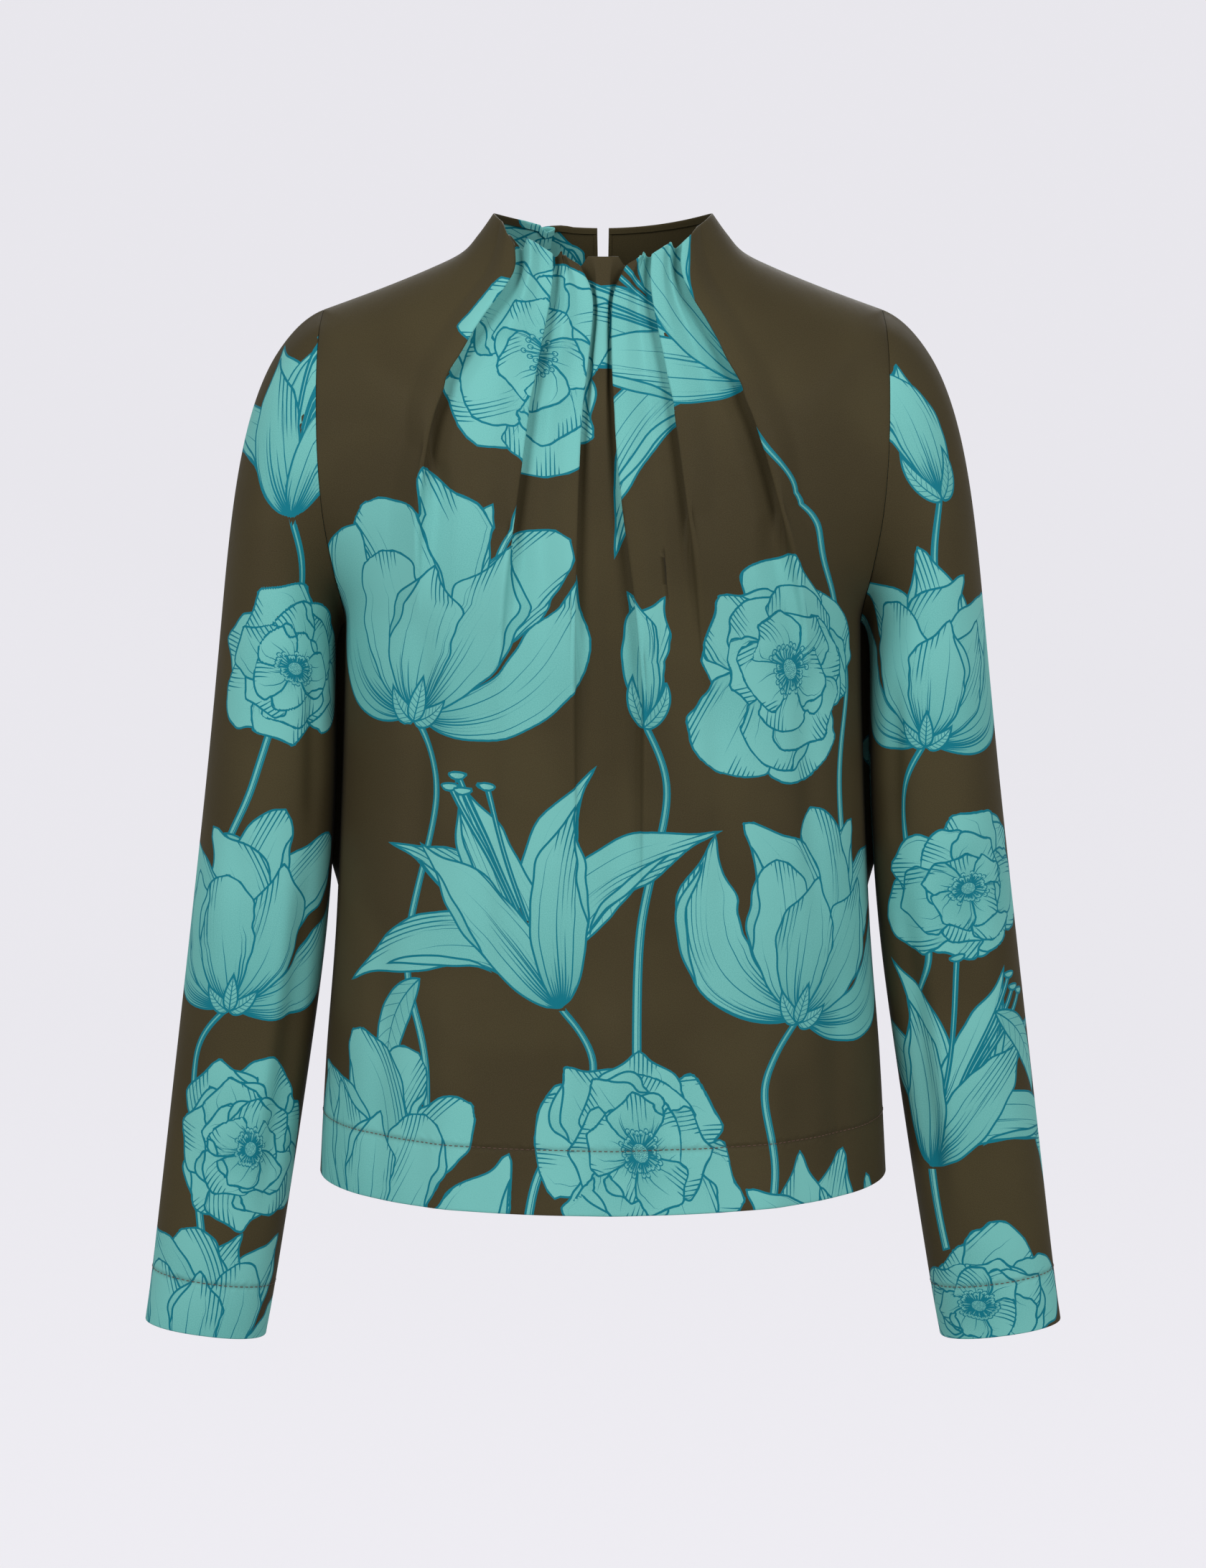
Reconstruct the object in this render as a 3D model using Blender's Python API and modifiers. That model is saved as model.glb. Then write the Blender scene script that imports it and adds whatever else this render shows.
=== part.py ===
"""Long-sleeved blouse with a pleated funnel neck, filled out with no wearer.

Metres, +Z up, the front faces -Y and +X is to the right as it is seen from the front.
The origin is at the neck, at the level where the shoulder seams begin, because the blouse
hangs from the shoulders. Each cut piece is a wall of its own: an open surface worked out
from the tables below, given its thickness by Solidify.
"""

import bpy
import numpy as np

WALL = 0.0012          # thickness of the cloth walls
SEAM_GAP = 0.0004      # between two pieces at a seam
ROUND = 0.58           # handle of a level's curve at the side, as a share of its depth
FLATTER = 0.62         # and at the middle of front and back, as a share of its width
SAMPLES = 240          # points along half a level, from which the pieces are read

# Levels of the body, from the neck edge to the hem, on the +X side. Each level is a curve
# from the centre front (or centre back) to the panel's edge: front_y, front_z and back_y,
# back_z are its middle, edge_x, edge_y, edge_z its end (edge_y is mirrored on the back),
# and turn is the heading of the cloth there, in degrees from straight across.
LEVEL_COLUMNS = ("front_y", "front_z", "back_y", "back_z", "edge_x", "edge_y", "edge_z", "turn")
NECK_AND_SHOULDER = (
    (-0.0600, -0.0055, 0.0560, 0.0095, 0.0690, 0.0000, 0.0200, 90),   # neck edge
    (-0.0645, -0.0200, 0.0600, -0.0010, 0.0780, 0.0000, 0.0075, 90),
    (-0.0720, -0.0380, 0.0660, -0.0160, 0.0885, 0.0000, -0.0040, 90),  # foot of the neck
    (-0.0825, -0.0600, 0.0755, -0.0400, 0.1080, 0.0000, -0.0138, 90),
    (-0.0920, -0.0820, 0.0850, -0.0680, 0.1400, 0.0000, -0.0268, 90),
    (-0.1000, -0.1040, 0.0920, -0.0950, 0.1760, 0.0000, -0.0400, 90),  # shoulder tip
)
ARMHOLE = (
    (-0.1000, -0.1040, 0.0920, -0.0950, 0.1760, 0.0000, -0.0400, 90),
    (-0.1040, -0.1180, 0.0950, -0.1120, 0.1775, -0.0300, -0.0540, 62),
    (-0.1075, -0.1350, 0.0975, -0.1320, 0.1782, -0.0500, -0.0830, 36),
    (-0.1110, -0.1560, 0.1000, -0.1550, 0.1775, -0.0590, -0.1250, 27),
    (-0.1135, -0.1800, 0.1015, -0.1800, 0.1745, -0.0570, -0.1650, 31),
    (-0.1150, -0.2040, 0.1025, -0.2040, 0.1690, -0.0430, -0.2000, 48),
    (-0.1155, -0.2230, 0.1025, -0.2230, 0.1650, -0.0220, -0.2220, 70),
    (-0.1155, -0.2380, 0.1025, -0.2380, 0.1635, 0.0000, -0.2380, 90),  # underarm
)
SIDE = (
    (-0.1155, -0.2380, 0.1025, -0.2380, 0.1635, 0.0000, -0.2380, 90),
    (-0.1155, -0.3220, 0.1030, -0.3220, 0.1660, 0.0000, -0.3220, 90),
    (-0.1175, -0.4300, 0.1070, -0.4300, 0.1710, 0.0000, -0.4300, 90),
    (-0.1205, -0.5150, 0.1130, -0.5150, 0.1780, 0.0000, -0.5150, 90),
    (-0.1290, -0.5940, 0.1230, -0.5920, 0.1826, 0.0000, -0.5920, 90),  # hem
)
ROWS = (9, 11, 5)      # steps down the neck and shoulder, the armhole and the side

# Knife pleats at the neck. edge_* is how far the folded edge lies from the centre line at the
# neck edge and 30, 120 and 270 mm below it; tuck is the depth of cloth folded under, folded_z
# and gone_z are where the fold starts to open and where its ridge is gone, dip is how far the
# neck edge drops at the fold. All in metres. faces is the way the edge looks: 1 towards +X.
PLEAT_COLUMNS = ("faces", "edge_0", "edge_30", "edge_120", "edge_270",
                 "tuck", "folded_z", "gone_z", "dip")
PLEAT_DEPTH = 0.030    # the edge_* columns are read at 0, 1, 4 and 9 times this depth
FRONT_PLEATS = (
    (1, -0.0520, -0.0575, -0.1030, -0.1150, 0.0085, -0.092, -0.230, 0.009),
    (1, -0.0300, -0.0320, -0.0480, -0.0640, 0.0080, -0.110, -0.290, 0.004),
    (1, -0.0140, -0.0060, -0.0140, -0.0170, 0.0085, -0.130, -0.420, 0.007),
    (-1, 0.0140, 0.0055, 0.0085, 0.0240, 0.0085, -0.150, -0.440, 0.007),
    (-1, 0.0290, 0.0300, 0.0465, 0.0620, 0.0080, -0.110, -0.280, 0.004),
    (-1, 0.0465, 0.0510, 0.0930, 0.1290, 0.0085, -0.120, -0.270, 0.005),
)
BACK_PLEATS = {-1: ((1, 0.0380, 0.0420, 0.0520, 0.0560, 0.0070, -0.030, -0.130, 0.004),), 1: ()}

# A pleat's section, from the cloth behind the folded edge to the cloth under it. open is where
# a point lies once the pleat has opened, as a share of the room on that side of the edge; tucks,
# plus and climb add up to its place while it is folded, as tucks, metres and shares of the
# stretch over which the cloth climbs on to the fold; rise is its height in layers.
LAYER = 0.0021         # from one folded layer to the next, clear of the wall's thickness
ROOM = 0.024           # the most that an opened pleat spreads to each side of its edge
CLIMB = (0.003, 0.010)  # least and most length of the climb
SECTION_COLUMNS = ("open", "tucks", "plus", "climb", "rise")
PLEAT_SECTION = (
    (-1.00, -1, 0.0000, -1.0, 0.10),
    (-0.60, -1, 0.0000, -0.3, 1.35),
    (-0.30, -1, 0.0000, 0.0, 1.95),
    (-0.05, 0, -0.0012, 0.0, 1.95),
    (0.05, 0, 0.0002, 0.0, 1.50),
    (0.20, 0, -0.0012, 0.0, 1.05),
    (0.35, -1, 0.0014, 0.0, 0.95),
    (0.50, -1, 0.0000, 0.0, 0.48),
    (0.65, -1, 0.0014, 0.0, 0.00),
    (0.80, 0, -0.0006, 0.0, 0.00),
    (1.00, 0, 0.0028, 0.0, 0.00),
)
LEAST_TUCK = 0.0026    # the cloth's bends just fit over each other at this depth

SLIT_DEPTH = 0.150     # opening at the centre back, from the neck edge down
SLIT_WIDTH = 0.0078    # its width at the neck edge

# Sections of the sleeve below the cap, on the +X side, from the upper arm to the wrist:
# its outer and inner corner, half its depth from front to back and how far forward it hangs.
SLEEVE_COLUMNS = ("outer_x", "outer_z", "inner_x", "inner_z", "depth", "forward")
SLEEVE_LEVELS = (
    (0.2395, -0.2075, 0.1690, -0.2860, 0.0590, 0.000),
    (0.2508, -0.3180, 0.1695, -0.3500, 0.0560, 0.001),
    (0.2638, -0.4295, 0.1762, -0.4340, 0.0500, 0.002),
    (0.2775, -0.5420, 0.1925, -0.5460, 0.0420, 0.003),
    (0.2907, -0.6500, 0.2105, -0.6570, 0.0330, 0.005),
    (0.2963, -0.6895, 0.2184, -0.7000, 0.0290, 0.006),
)
CLEAR = 0.0034          # from the sleeve's inner side to the body that it lies against
SLEEVE_ROWS = (6, 10)   # steps down the cap and the rest of the sleeve

CLOTH = {"front": (0.10, 0.19, 0.17), "back_left": (0.07, 0.06, 0.04), "back_right": (0.08, 0.07, 0.05),
         "sleeve_left": (0.11, 0.22, 0.20), "sleeve_right": (0.12, 0.23, 0.21)}   # base colours


def read_table(rows, at):
    """Runs a smooth curve through a table's rows, and reads it at places between them."""
    table = np.array(rows, float)
    first = np.minimum(at.astype(int), len(table) - 2)
    t = (at - first)[:, None]
    before = table[np.maximum(first - 1, 0)]
    here, there = table[first], table[first + 1]
    after = table[np.minimum(first + 2, len(table) - 1)]
    leave, arrive = (there - before) / 2, (after - here) / 2
    return ((2 * t**3 - 3 * t**2 + 1) * here + (t**3 - 2 * t**2 + t) * leave
            + (3 * t**2 - 2 * t**3) * there + (t**3 - t**2) * arrive)


def smooth_table(rows, steps):
    return read_table(rows, np.linspace(0, len(rows) - 1, steps + 1))


def body_levels():
    """The levels of the body from the neck edge to the hem, with the table's columns."""
    parts = [smooth_table(rows, steps)
             for rows, steps in zip((NECK_AND_SHOULDER, ARMHOLE, SIDE), ROWS)]
    rows = np.concatenate([parts[0], parts[1][1:], parts[2][1:]])
    return dict(zip(LEVEL_COLUMNS, rows.T))


def bezier(start, leave, arrive, end, t):
    """A cubic from start to end with two handles; t runs along the last axis but one."""
    a, b, c, d = (np.asarray(p)[..., None, :] for p in (start, leave, arrive, end))
    t = t[:, None]
    return (1 - t)**3 * a + 3 * t * (1 - t)**2 * b + 3 * t**2 * (1 - t) * c + t**3 * d


def half_levels(levels, side):
    """Curves from the middle of the panel to its +X edge, one for each level."""
    middle_y, middle_z = levels[side + "_y"], levels[side + "_z"]
    edge_y = levels["edge_y"] * (1 if side == "front" else -1)
    deep = (edge_y - middle_y) * ROUND
    drawn_in = np.abs(deep) / np.tan(np.radians(np.minimum(levels["turn"], 89.9)))
    none = np.zeros_like(middle_y)
    start = np.stack([none, middle_y, middle_z], 1)
    end = np.stack([levels["edge_x"], edge_y, levels["edge_z"]], 1)
    leave = start + np.stack([levels["edge_x"] * FLATTER, none, none], 1)
    arrive = end - np.stack([drawn_in, deep, none], 1)
    return bezier(start, leave, arrive, end, np.linspace(0, 1, SAMPLES))


class Panel:
    """A smooth panel: points and outward normals by level and by distance from its middle."""

    def __init__(self, curves, middle, flat_ends):
        """curves run from one side to the other; middle is the sample that lies in the middle."""
        step = np.linalg.norm(np.diff(curves, axis=1), axis=2)
        along = np.concatenate([np.zeros((len(curves), 1)), np.cumsum(step, 1)], 1)
        self.middle, self.length = along[:, middle], along[:, -1]
        even = np.linspace(0, 1, curves.shape[1])
        self.points = np.stack([[np.interp(even * a[-1], a, c[:, i]) for i in range(3)]
                                for a, c in zip(along, curves)]).transpose(0, 2, 1)
        normal = np.cross(np.gradient(self.points, axis=0), np.gradient(self.points, axis=1))
        for end in {-1, 0 if middle else -1}:       # a seam lies square to its neighbour
            normal[flat_ends, end, 1] = 0
        self.normals = normal / np.linalg.norm(normal, axis=2, keepdims=True)

    def read(self, distance):
        """Points and normals at distances from the middle, one row of them for each level."""
        last = self.points.shape[1] - 1
        at = np.clip((distance + self.middle[:, None]) / self.length[:, None], 0, 1) * last
        first = np.minimum(at.astype(int), last - 1)
        share = (at - first)[:, :, None]
        row = np.arange(len(at))[:, None]
        point = self.points[row, first] * (1 - share) + self.points[row, first + 1] * share
        normal = self.normals[row, first] * (1 - share) + self.normals[row, first + 1] * share
        return point, normal

    def distance_at(self, x):
        """Distance from the middle at which each level reaches its own x."""
        return np.array([np.interp(value, row[:, 0], np.linspace(0, length, len(row)) - middle)
                         for value, row, length, middle
                         in zip(x, self.points, self.length, self.middle)])


def fade(height, top, bottom):
    """1 above top, 0 below bottom, and smooth in between."""
    t = np.clip((top - height) / (top - bottom), 0, 1)
    return 1 - t * t * (3 - 2 * t)


def pleat_edges(panel, height, pleats):
    """Distance of each pleat's folded edge from the middle, one row for each level."""
    table = np.array([[p[name] for p in pleats] for name in PLEAT_COLUMNS[1:5]])
    at = np.minimum(np.sqrt((height[0] - height) / PLEAT_DEPTH), 3)
    return [panel.distance_at(x) for x in read_table(table, at).T]


def pleat_columns(p, height, edge, behind, ahead):
    """Distances, rises and drops of one pleat's columns. behind and ahead are the room that
    its neighbours leave on the two sides of its edge."""
    s = dict(zip(SECTION_COLUMNS, np.array(PLEAT_SECTION).T))
    halfway = 0.5 * (p["folded_z"] + p["gone_z"])
    opening = 1 - fade(height, p["folded_z"], halfway)[:, None]
    ridge = fade(height, 0.4 * p["folded_z"] + 0.6 * halfway, p["gone_z"])[:, None]
    tuck = p["tuck"] + (LEAST_TUCK - p["tuck"]) * np.minimum(opening * 2, 1)
    folded = 1 - np.maximum(opening * 2 - 1, 0)
    climb = np.clip(0.7 * (behind - p["tuck"] - 0.004), *CLIMB)[:, None]
    laid = s["tucks"] * tuck + s["plus"] + s["climb"] * climb
    room = np.where(s["open"] < 0, behind[:, None], ahead[:, None]) * 0.46
    spread = s["open"] * np.minimum(room, ROOM)
    across = edge[:, None] + p["faces"] * (folded * laid + (1 - folded) * spread)
    rise = ridge * s["rise"] * LAYER
    low = np.interp(laid, [-2 * p["tuck"], 0.0, 0.5 * p["tuck"]], [0, p["dip"], 0])
    drop = fade(height - height[0], -0.002, -0.035)[:, None] * low
    order = slice(None) if p["faces"] > 0 else slice(None, None, -1)
    return across[:, order], rise[:, order], drop[:, order]


def pleated_grid(panel, height, pleats, first, last, between):
    """Grid of points from distance first to last, with pleats and plain columns between."""
    pleats = [dict(zip(PLEAT_COLUMNS, row)) for row in pleats]
    edges = [first] + (pleat_edges(panel, height, pleats) if pleats else []) + [last]
    none = np.zeros((len(height), 1))
    blocks = [(first[:, None], none, none)]
    for i, p in enumerate(pleats):
        sides = (edges[i + 1] - edges[i], edges[i + 2] - edges[i + 1])
        behind, ahead = sides if p["faces"] > 0 else sides[::-1]
        blocks.append(pleat_columns(p, height, edges[i + 1], behind, ahead))
    blocks.append((last[:, None], none, none))
    columns = [list(blocks[0])]
    for left, right, count in zip(blocks, blocks[1:], between):
        t = np.linspace(0, 1, count + 2)[1:-1]
        columns.append([a[:, -1:] * (1 - t) + b[:, :1] * t for a, b in zip(left, right)])
        columns.append(right)
    across, rise, drop = (np.concatenate(parts, 1) for parts in zip(*columns))
    point, normal = panel.read(across)
    point = point + normal * rise[:, :, None]
    point[:, :, 2] -= drop
    return point


def front_grid(levels):
    half = half_levels(levels, "front")
    mirrored = half[:, :0:-1] * (-1, 1, 1)
    panel = Panel(np.concatenate([mirrored, half], 1), SAMPLES - 1, levels["turn"] > 89)
    edge = panel.length / 2 - SEAM_GAP / 2
    between = (6, 1, 1, 3, 1, 1, 6)
    return pleated_grid(panel, levels["front_z"], FRONT_PLEATS, -edge, edge, between)


def back_grid(levels, side):
    """One back half, on the +X side when side is 1; made there and mirrored for -1."""
    panel = Panel(half_levels(levels, "back"), 0, levels["turn"] > 89)
    panel.normals *= -1
    below = levels["back_z"][0] - levels["back_z"]
    open_share = np.clip(1 - below / SLIT_DEPTH, 0, 1) ** 0.7
    first = np.maximum(SEAM_GAP / 2, open_share * SLIT_WIDTH / 2)
    last = panel.length - SEAM_GAP / 2
    between = (5, 7) if BACK_PLEATS[side] else (17,)
    grid = pleated_grid(panel, levels["back_z"], BACK_PLEATS[side], first, last, between)
    return grid * (side, 1, 1)


def armhole_ring(levels):
    """The body's edge at the armhole, from the shoulder tip down the front and up the back."""
    rows = slice(ROWS[0], ROWS[0] + ROWS[1] + 1)
    front = np.stack([levels[name][rows] for name in ("edge_x", "edge_y", "edge_z")], 1)
    back = front[-2:0:-1] * (1, -1, 1)
    return np.concatenate([front, back])


def body_reach(levels, points):
    """How far out the body reaches at the height and depth of each point, as an ellipse."""
    rows = slice(None, ROWS[0] + ROWS[1] - 1, -1)
    wide, front, back = (np.interp(points[..., 2], levels["edge_z"][rows], levels[name][rows])
                         for name in ("edge_x", "front_y", "back_y"))
    share = points[..., 1] / np.where(points[..., 1] < 0, front, back)
    return wide * np.sqrt(np.maximum(1 - share**2, 0))


def beside(x, least, soft=0.003):
    """The greater of x and least, with a soft turn from one to the other."""
    return (x + least + np.sqrt((x - least)**2 + soft**2)) / 2


def sleeve_grid(levels, side):
    """Rings from the armhole to the wrist, each from the top round the front and back."""
    armhole = armhole_ring(levels)
    angle = np.linspace(0, 2 * np.pi, len(armhole), endpoint=False)
    s = dict(zip(SLEEVE_COLUMNS, smooth_table(SLEEVE_LEVELS, SLEEVE_ROWS[1]).T))
    outer = np.stack([s["outer_x"], -s["forward"], s["outer_z"]], 1)[:, None]
    inner = np.stack([s["inner_x"], -s["forward"], s["inner_z"]], 1)[:, None]
    middle, wide = (outer + inner) / 2, (outer - inner) / 2
    deep = s["depth"][:, None, None] * np.array([0.0, -1.0, 0.0])
    flat_cos = np.sign(np.cos(angle)) * np.abs(np.cos(angle)) ** 0.9
    flat_sin = np.sign(np.sin(angle)) * np.abs(np.sin(angle)) ** 0.9
    rings = middle + wide * flat_cos[:, None] + deep * flat_sin[:, None]
    rings[..., 0] = beside(rings[..., 0], body_reach(levels, rings) + CLEAR)
    top = (1 + np.cos(angle)[:, None]) / 2
    leave = (top * (0.92, 0, -0.38) + (1 - top) * (0.93, 0, -0.36)) * (0.008 + 0.040 * top**2)
    belly = (np.sin(angle) ** 2)[:, None]
    leave = leave * (1 - belly) + belly * np.array([0.028, 0.0, -0.020])
    leave[:, 1] += 0.006 * np.sin(angle) * belly[:, 0]
    arrive = (rings[0] - rings[1]) / np.linalg.norm(rings[0] - rings[1], axis=1, keepdims=True)
    arrive = arrive * (0.018 + 0.062 * top**1.5)
    away = leave / np.linalg.norm(leave, axis=1, keepdims=True)
    start = armhole + away * (SEAM_GAP + WALL * (1 - top**2))
    t = np.linspace(0, 1, SLEEVE_ROWS[0] + 1)[:-1]
    cap = bezier(start, start + leave, rings[0] + arrive, rings[0], t).transpose(1, 0, 2)
    return np.concatenate([cap, rings]) * (side, 1, 1)


def add_cloth(name, grid, closed, collection):
    """Makes a wall from a grid of points, rows down the piece and columns across it."""
    rows, columns = grid.shape[:2]
    index = np.arange(rows * columns).reshape(rows, columns)
    if closed:
        index = np.concatenate([index, index[:, :1]], 1)
    corners = (index[:-1, :-1], index[1:, :-1], index[1:, 1:], index[:-1, 1:])
    faces = np.stack([c.ravel() for c in corners], 1)
    mesh = bpy.data.meshes.new(name)
    mesh.from_pydata(grid.reshape(-1, 3).tolist(), [], faces.tolist())
    middle = grid.reshape(-1, 3).mean(0)
    mesh.update()
    outward = sum((np.array(p.center) - middle).dot(np.array(p.normal)) for p in mesh.polygons)
    if outward < 0:
        mesh.flip_normals()
    mesh.shade_smooth()
    piece = bpy.data.objects.new(name, mesh)
    wall = piece.modifiers.new("Wall", "SOLIDIFY")
    wall.thickness = WALL
    wall.offset = 0
    collection.objects.link(piece)
    material = bpy.data.materials.new(name + " cloth")
    material.use_nodes = True
    shader = material.node_tree.nodes["Principled BSDF"]
    shader.inputs["Base Color"].default_value = (*CLOTH[name], 1)
    shader.inputs["Roughness"].default_value = 0.6
    shader.inputs["Metallic"].default_value = 0.0
    mesh.materials.append(material)


def build():
    for old in list(bpy.data.objects):
        bpy.data.objects.remove(old)
    blouse = bpy.data.collections.new("Blouse")
    bpy.context.scene.collection.children.link(blouse)
    levels = body_levels()
    add_cloth("front", front_grid(levels), False, blouse)
    for name, side in (("left", -1), ("right", 1)):
        add_cloth("back_" + name, back_grid(levels, side), False, blouse)
        add_cloth("sleeve_" + name, sleeve_grid(levels, side), True, blouse)


build()
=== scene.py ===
import bpy
import numpy as np
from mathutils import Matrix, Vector


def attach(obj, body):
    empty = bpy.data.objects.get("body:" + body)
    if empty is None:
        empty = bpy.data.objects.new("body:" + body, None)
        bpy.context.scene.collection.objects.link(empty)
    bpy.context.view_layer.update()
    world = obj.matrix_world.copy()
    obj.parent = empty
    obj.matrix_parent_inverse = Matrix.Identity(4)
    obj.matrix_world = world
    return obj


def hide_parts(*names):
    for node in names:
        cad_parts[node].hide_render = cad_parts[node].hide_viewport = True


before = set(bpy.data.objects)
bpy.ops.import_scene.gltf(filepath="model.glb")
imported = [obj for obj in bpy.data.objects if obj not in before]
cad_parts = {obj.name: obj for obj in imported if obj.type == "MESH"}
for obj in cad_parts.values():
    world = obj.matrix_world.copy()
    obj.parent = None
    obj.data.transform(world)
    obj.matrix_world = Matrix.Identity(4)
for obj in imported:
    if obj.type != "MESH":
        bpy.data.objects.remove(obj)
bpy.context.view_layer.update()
print("blouse: the packed solids are loaded")

# The cut: the same tables as the solids', in metres.

bodyCut = dict(
    columns=("frontY", "frontZ", "backY", "backZ", "edgeX", "edgeY", "edgeZ", "turn"),
    neckAndShoulder=(
        (-0.0600, -0.0055, 0.0560, 0.0095, 0.0690, 0.0000, 0.0200, 90),
        (-0.0645, -0.0200, 0.0600, -0.0010, 0.0780, 0.0000, 0.0075, 90),
        (-0.0720, -0.0380, 0.0660, -0.0160, 0.0885, 0.0000, -0.0040, 90),
        (-0.0825, -0.0600, 0.0755, -0.0400, 0.1080, 0.0000, -0.0138, 90),
        (-0.0920, -0.0820, 0.0850, -0.0680, 0.1400, 0.0000, -0.0268, 90),
        (-0.1000, -0.1040, 0.0920, -0.0950, 0.1760, 0.0000, -0.0400, 90),
    ),
    armhole=(                # this table and the next go on from the row above them
        (-0.1040, -0.1180, 0.0950, -0.1120, 0.1775, -0.0300, -0.0540, 62),
        (-0.1075, -0.1350, 0.0975, -0.1320, 0.1782, -0.0500, -0.0830, 36),
        (-0.1110, -0.1560, 0.1000, -0.1550, 0.1775, -0.0590, -0.1250, 27),
        (-0.1135, -0.1800, 0.1015, -0.1800, 0.1745, -0.0570, -0.1650, 31),
        (-0.1150, -0.2040, 0.1025, -0.2040, 0.1690, -0.0430, -0.2000, 48),
        (-0.1155, -0.2230, 0.1025, -0.2230, 0.1650, -0.0220, -0.2220, 70),
        (-0.1155, -0.2380, 0.1025, -0.2380, 0.1635, 0.0000, -0.2380, 90),
    ),
    side=(
        (-0.1155, -0.3220, 0.1030, -0.3220, 0.1660, 0.0000, -0.3220, 90),
        (-0.1175, -0.4300, 0.1070, -0.4300, 0.1710, 0.0000, -0.4300, 90),
        (-0.1205, -0.5150, 0.1130, -0.5150, 0.1780, 0.0000, -0.5150, 90),
        (-0.1290, -0.5940, 0.1230, -0.5920, 0.1826, 0.0000, -0.5920, 90),
    ),
    rows=(50, 84, 160),      # steps down the neck and shoulder, the armhole and the side
    samples=700,             # points along half a level
    round=0.58, flatter=0.62,
    seamGap=0.0004,
    soften=7,                # rows over which the bends between levels are smoothed
    sideRoll=0.0142, rollHeights=(-0.205, -0.238, -0.390, -0.422), rollFrom=0.64,
)
pleatCut = dict(
    columns=("faces", "edge0", "edge30", "edge120", "edge270", "tuck", "foldedZ", "goneZ", "dip", "deep"),
    depth=0.030,
    front=(
        (1, -0.0520, -0.0575, -0.1030, -0.1150, 0.0085, -0.112, -0.235, 0.009, 1.40),
        (1, -0.0300, -0.0320, -0.0480, -0.0640, 0.0080, -0.132, -0.290, 0.004, 1.10),
        (1, -0.0140, -0.0060, -0.0140, -0.0170, 0.0085, -0.150, -0.420, 0.007, 1.05),
        (-1, 0.0140, 0.0055, 0.0085, 0.0240, 0.0085, -0.185, -0.440, 0.007, 1.05),
        (-1, 0.0290, 0.0300, 0.0465, 0.0620, 0.0080, -0.125, -0.280, 0.004, 1.10),
        (-1, 0.0465, 0.0510, 0.0930, 0.1290, 0.0085, -0.135, -0.275, 0.005, 1.35),
    ),
    backLeft=((1, 0.0380, 0.0420, 0.0520, 0.0560, 0.0070, -0.030, -0.130, 0.004, 1.00),),
    layer=0.0021, room=0.024, climb=(0.0022, 0.014), trough=(0.0008, 0.013), leastTuck=0.0026,
    sectionColumns=("open", "tucks", "plus", "climb", "trough", "rise", "openRise"),
    section=(
        (-1.00, -1, 0.0000, -1.0, 0, -0.10, 0.10),
        (-0.60, -1, 0.0000, -0.4, 0, 1.10, 1.10),
        (-0.30, -1, 0.0000, 0.0, 0, 1.90, 2.10),
        (-0.12, 0, -0.0028, 0.0, 0, 2.16, 2.80),
        (-0.06, 0, -0.0009, 0.0, 0, 2.08, 2.76),
        (0.00, 0, 0.0000, 0.0, 0, 1.75, 2.10),
        (0.04, 0, -0.0009, 0.0, 0, 1.35, 0.75),
        (0.10, 0, -0.0028, 0.0, 0, 1.15, 0.10),
        (0.17, -1, 0.0014, 0.0, 0, 0.85, -0.45),
        (0.24, -1, 0.0000, 0.0, 0, 0.20, -0.95),
        (0.38, -1, 0.0014, 0.0, 0, -0.60, -1.25),
        (0.52, 0, -0.0006, 0.0, 0, -1.35, -1.00),
        (0.68, 0, 0.0012, 0.0, 0.2, -1.25, -0.65),
        (0.84, 0, 0.0016, 0.0, 0.6, -0.60, -0.25),
        (1.00, 0, 0.0016, 0.0, 1.0, -0.10, 0.00),
    ),
    finer=2,                 # steps between two points of the section
)
slitCut = dict(depth=0.150, width=0.0078)
sleeveCut = dict(
    columns=("outerX", "outerZ", "innerX", "innerZ", "depth", "forward"),
    levels=(
        (0.2395, -0.2075, 0.1690, -0.2860, 0.0590, 0.000),
        (0.2508, -0.3180, 0.1695, -0.3500, 0.0560, 0.001),
        (0.2638, -0.4295, 0.1762, -0.4340, 0.0500, 0.002),
        (0.2775, -0.5420, 0.1925, -0.5460, 0.0420, 0.003),
        (0.2907, -0.6500, 0.2105, -0.6570, 0.0330, 0.005),
        (0.2963, -0.6895, 0.2184, -0.7000, 0.0290, 0.006),
    ),
    rows=(44, 200),
    clear=0.0034,            # to the body that it lies against
    start=0.0005,            # from the armhole's edge
    corners=0.9,             # power of the sine and cosine of a ring
    leaveTop=(0.92, 0, -0.38), leaveUnder=(0.93, 0, -0.36), leaveBelly=(0.028, 0, -0.020),
)


def readTable(rows, at):
    # A smooth curve through a table's rows, read at places between them (Catmull-Rom).
    table = np.array(rows, float)
    first = np.minimum(at.astype(int), len(table) - 2)
    t = (at - first)[:, None]
    before = table[np.maximum(first - 1, 0)]
    here, there = table[first], table[first + 1]
    after = table[np.minimum(first + 2, len(table) - 1)]
    leave, arrive = (there - before) / 2, (after - here) / 2
    return ((2 * t**3 - 3 * t**2 + 1) * here + (t**3 - 2 * t**2 + t) * leave
            + (3 * t**2 - 2 * t**3) * there + (t**3 - t**2) * arrive)


def smoothTable(rows, steps):
    # The same curve, read at even places.
    return readTable(rows, np.linspace(0, len(rows) - 1, steps + 1))


def bodyLevels():
    # The three tables one after another; each curve starts where the one above it ends.
    last, parts = (), []
    for name, steps in zip(("neckAndShoulder", "armhole", "side"), bodyCut["rows"]):
        parts.append(smoothTable(last + bodyCut[name], steps)[len(last):])
        last = bodyCut[name][-1:]
    return dict(zip(bodyCut["columns"], np.concatenate(parts).T))


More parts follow.
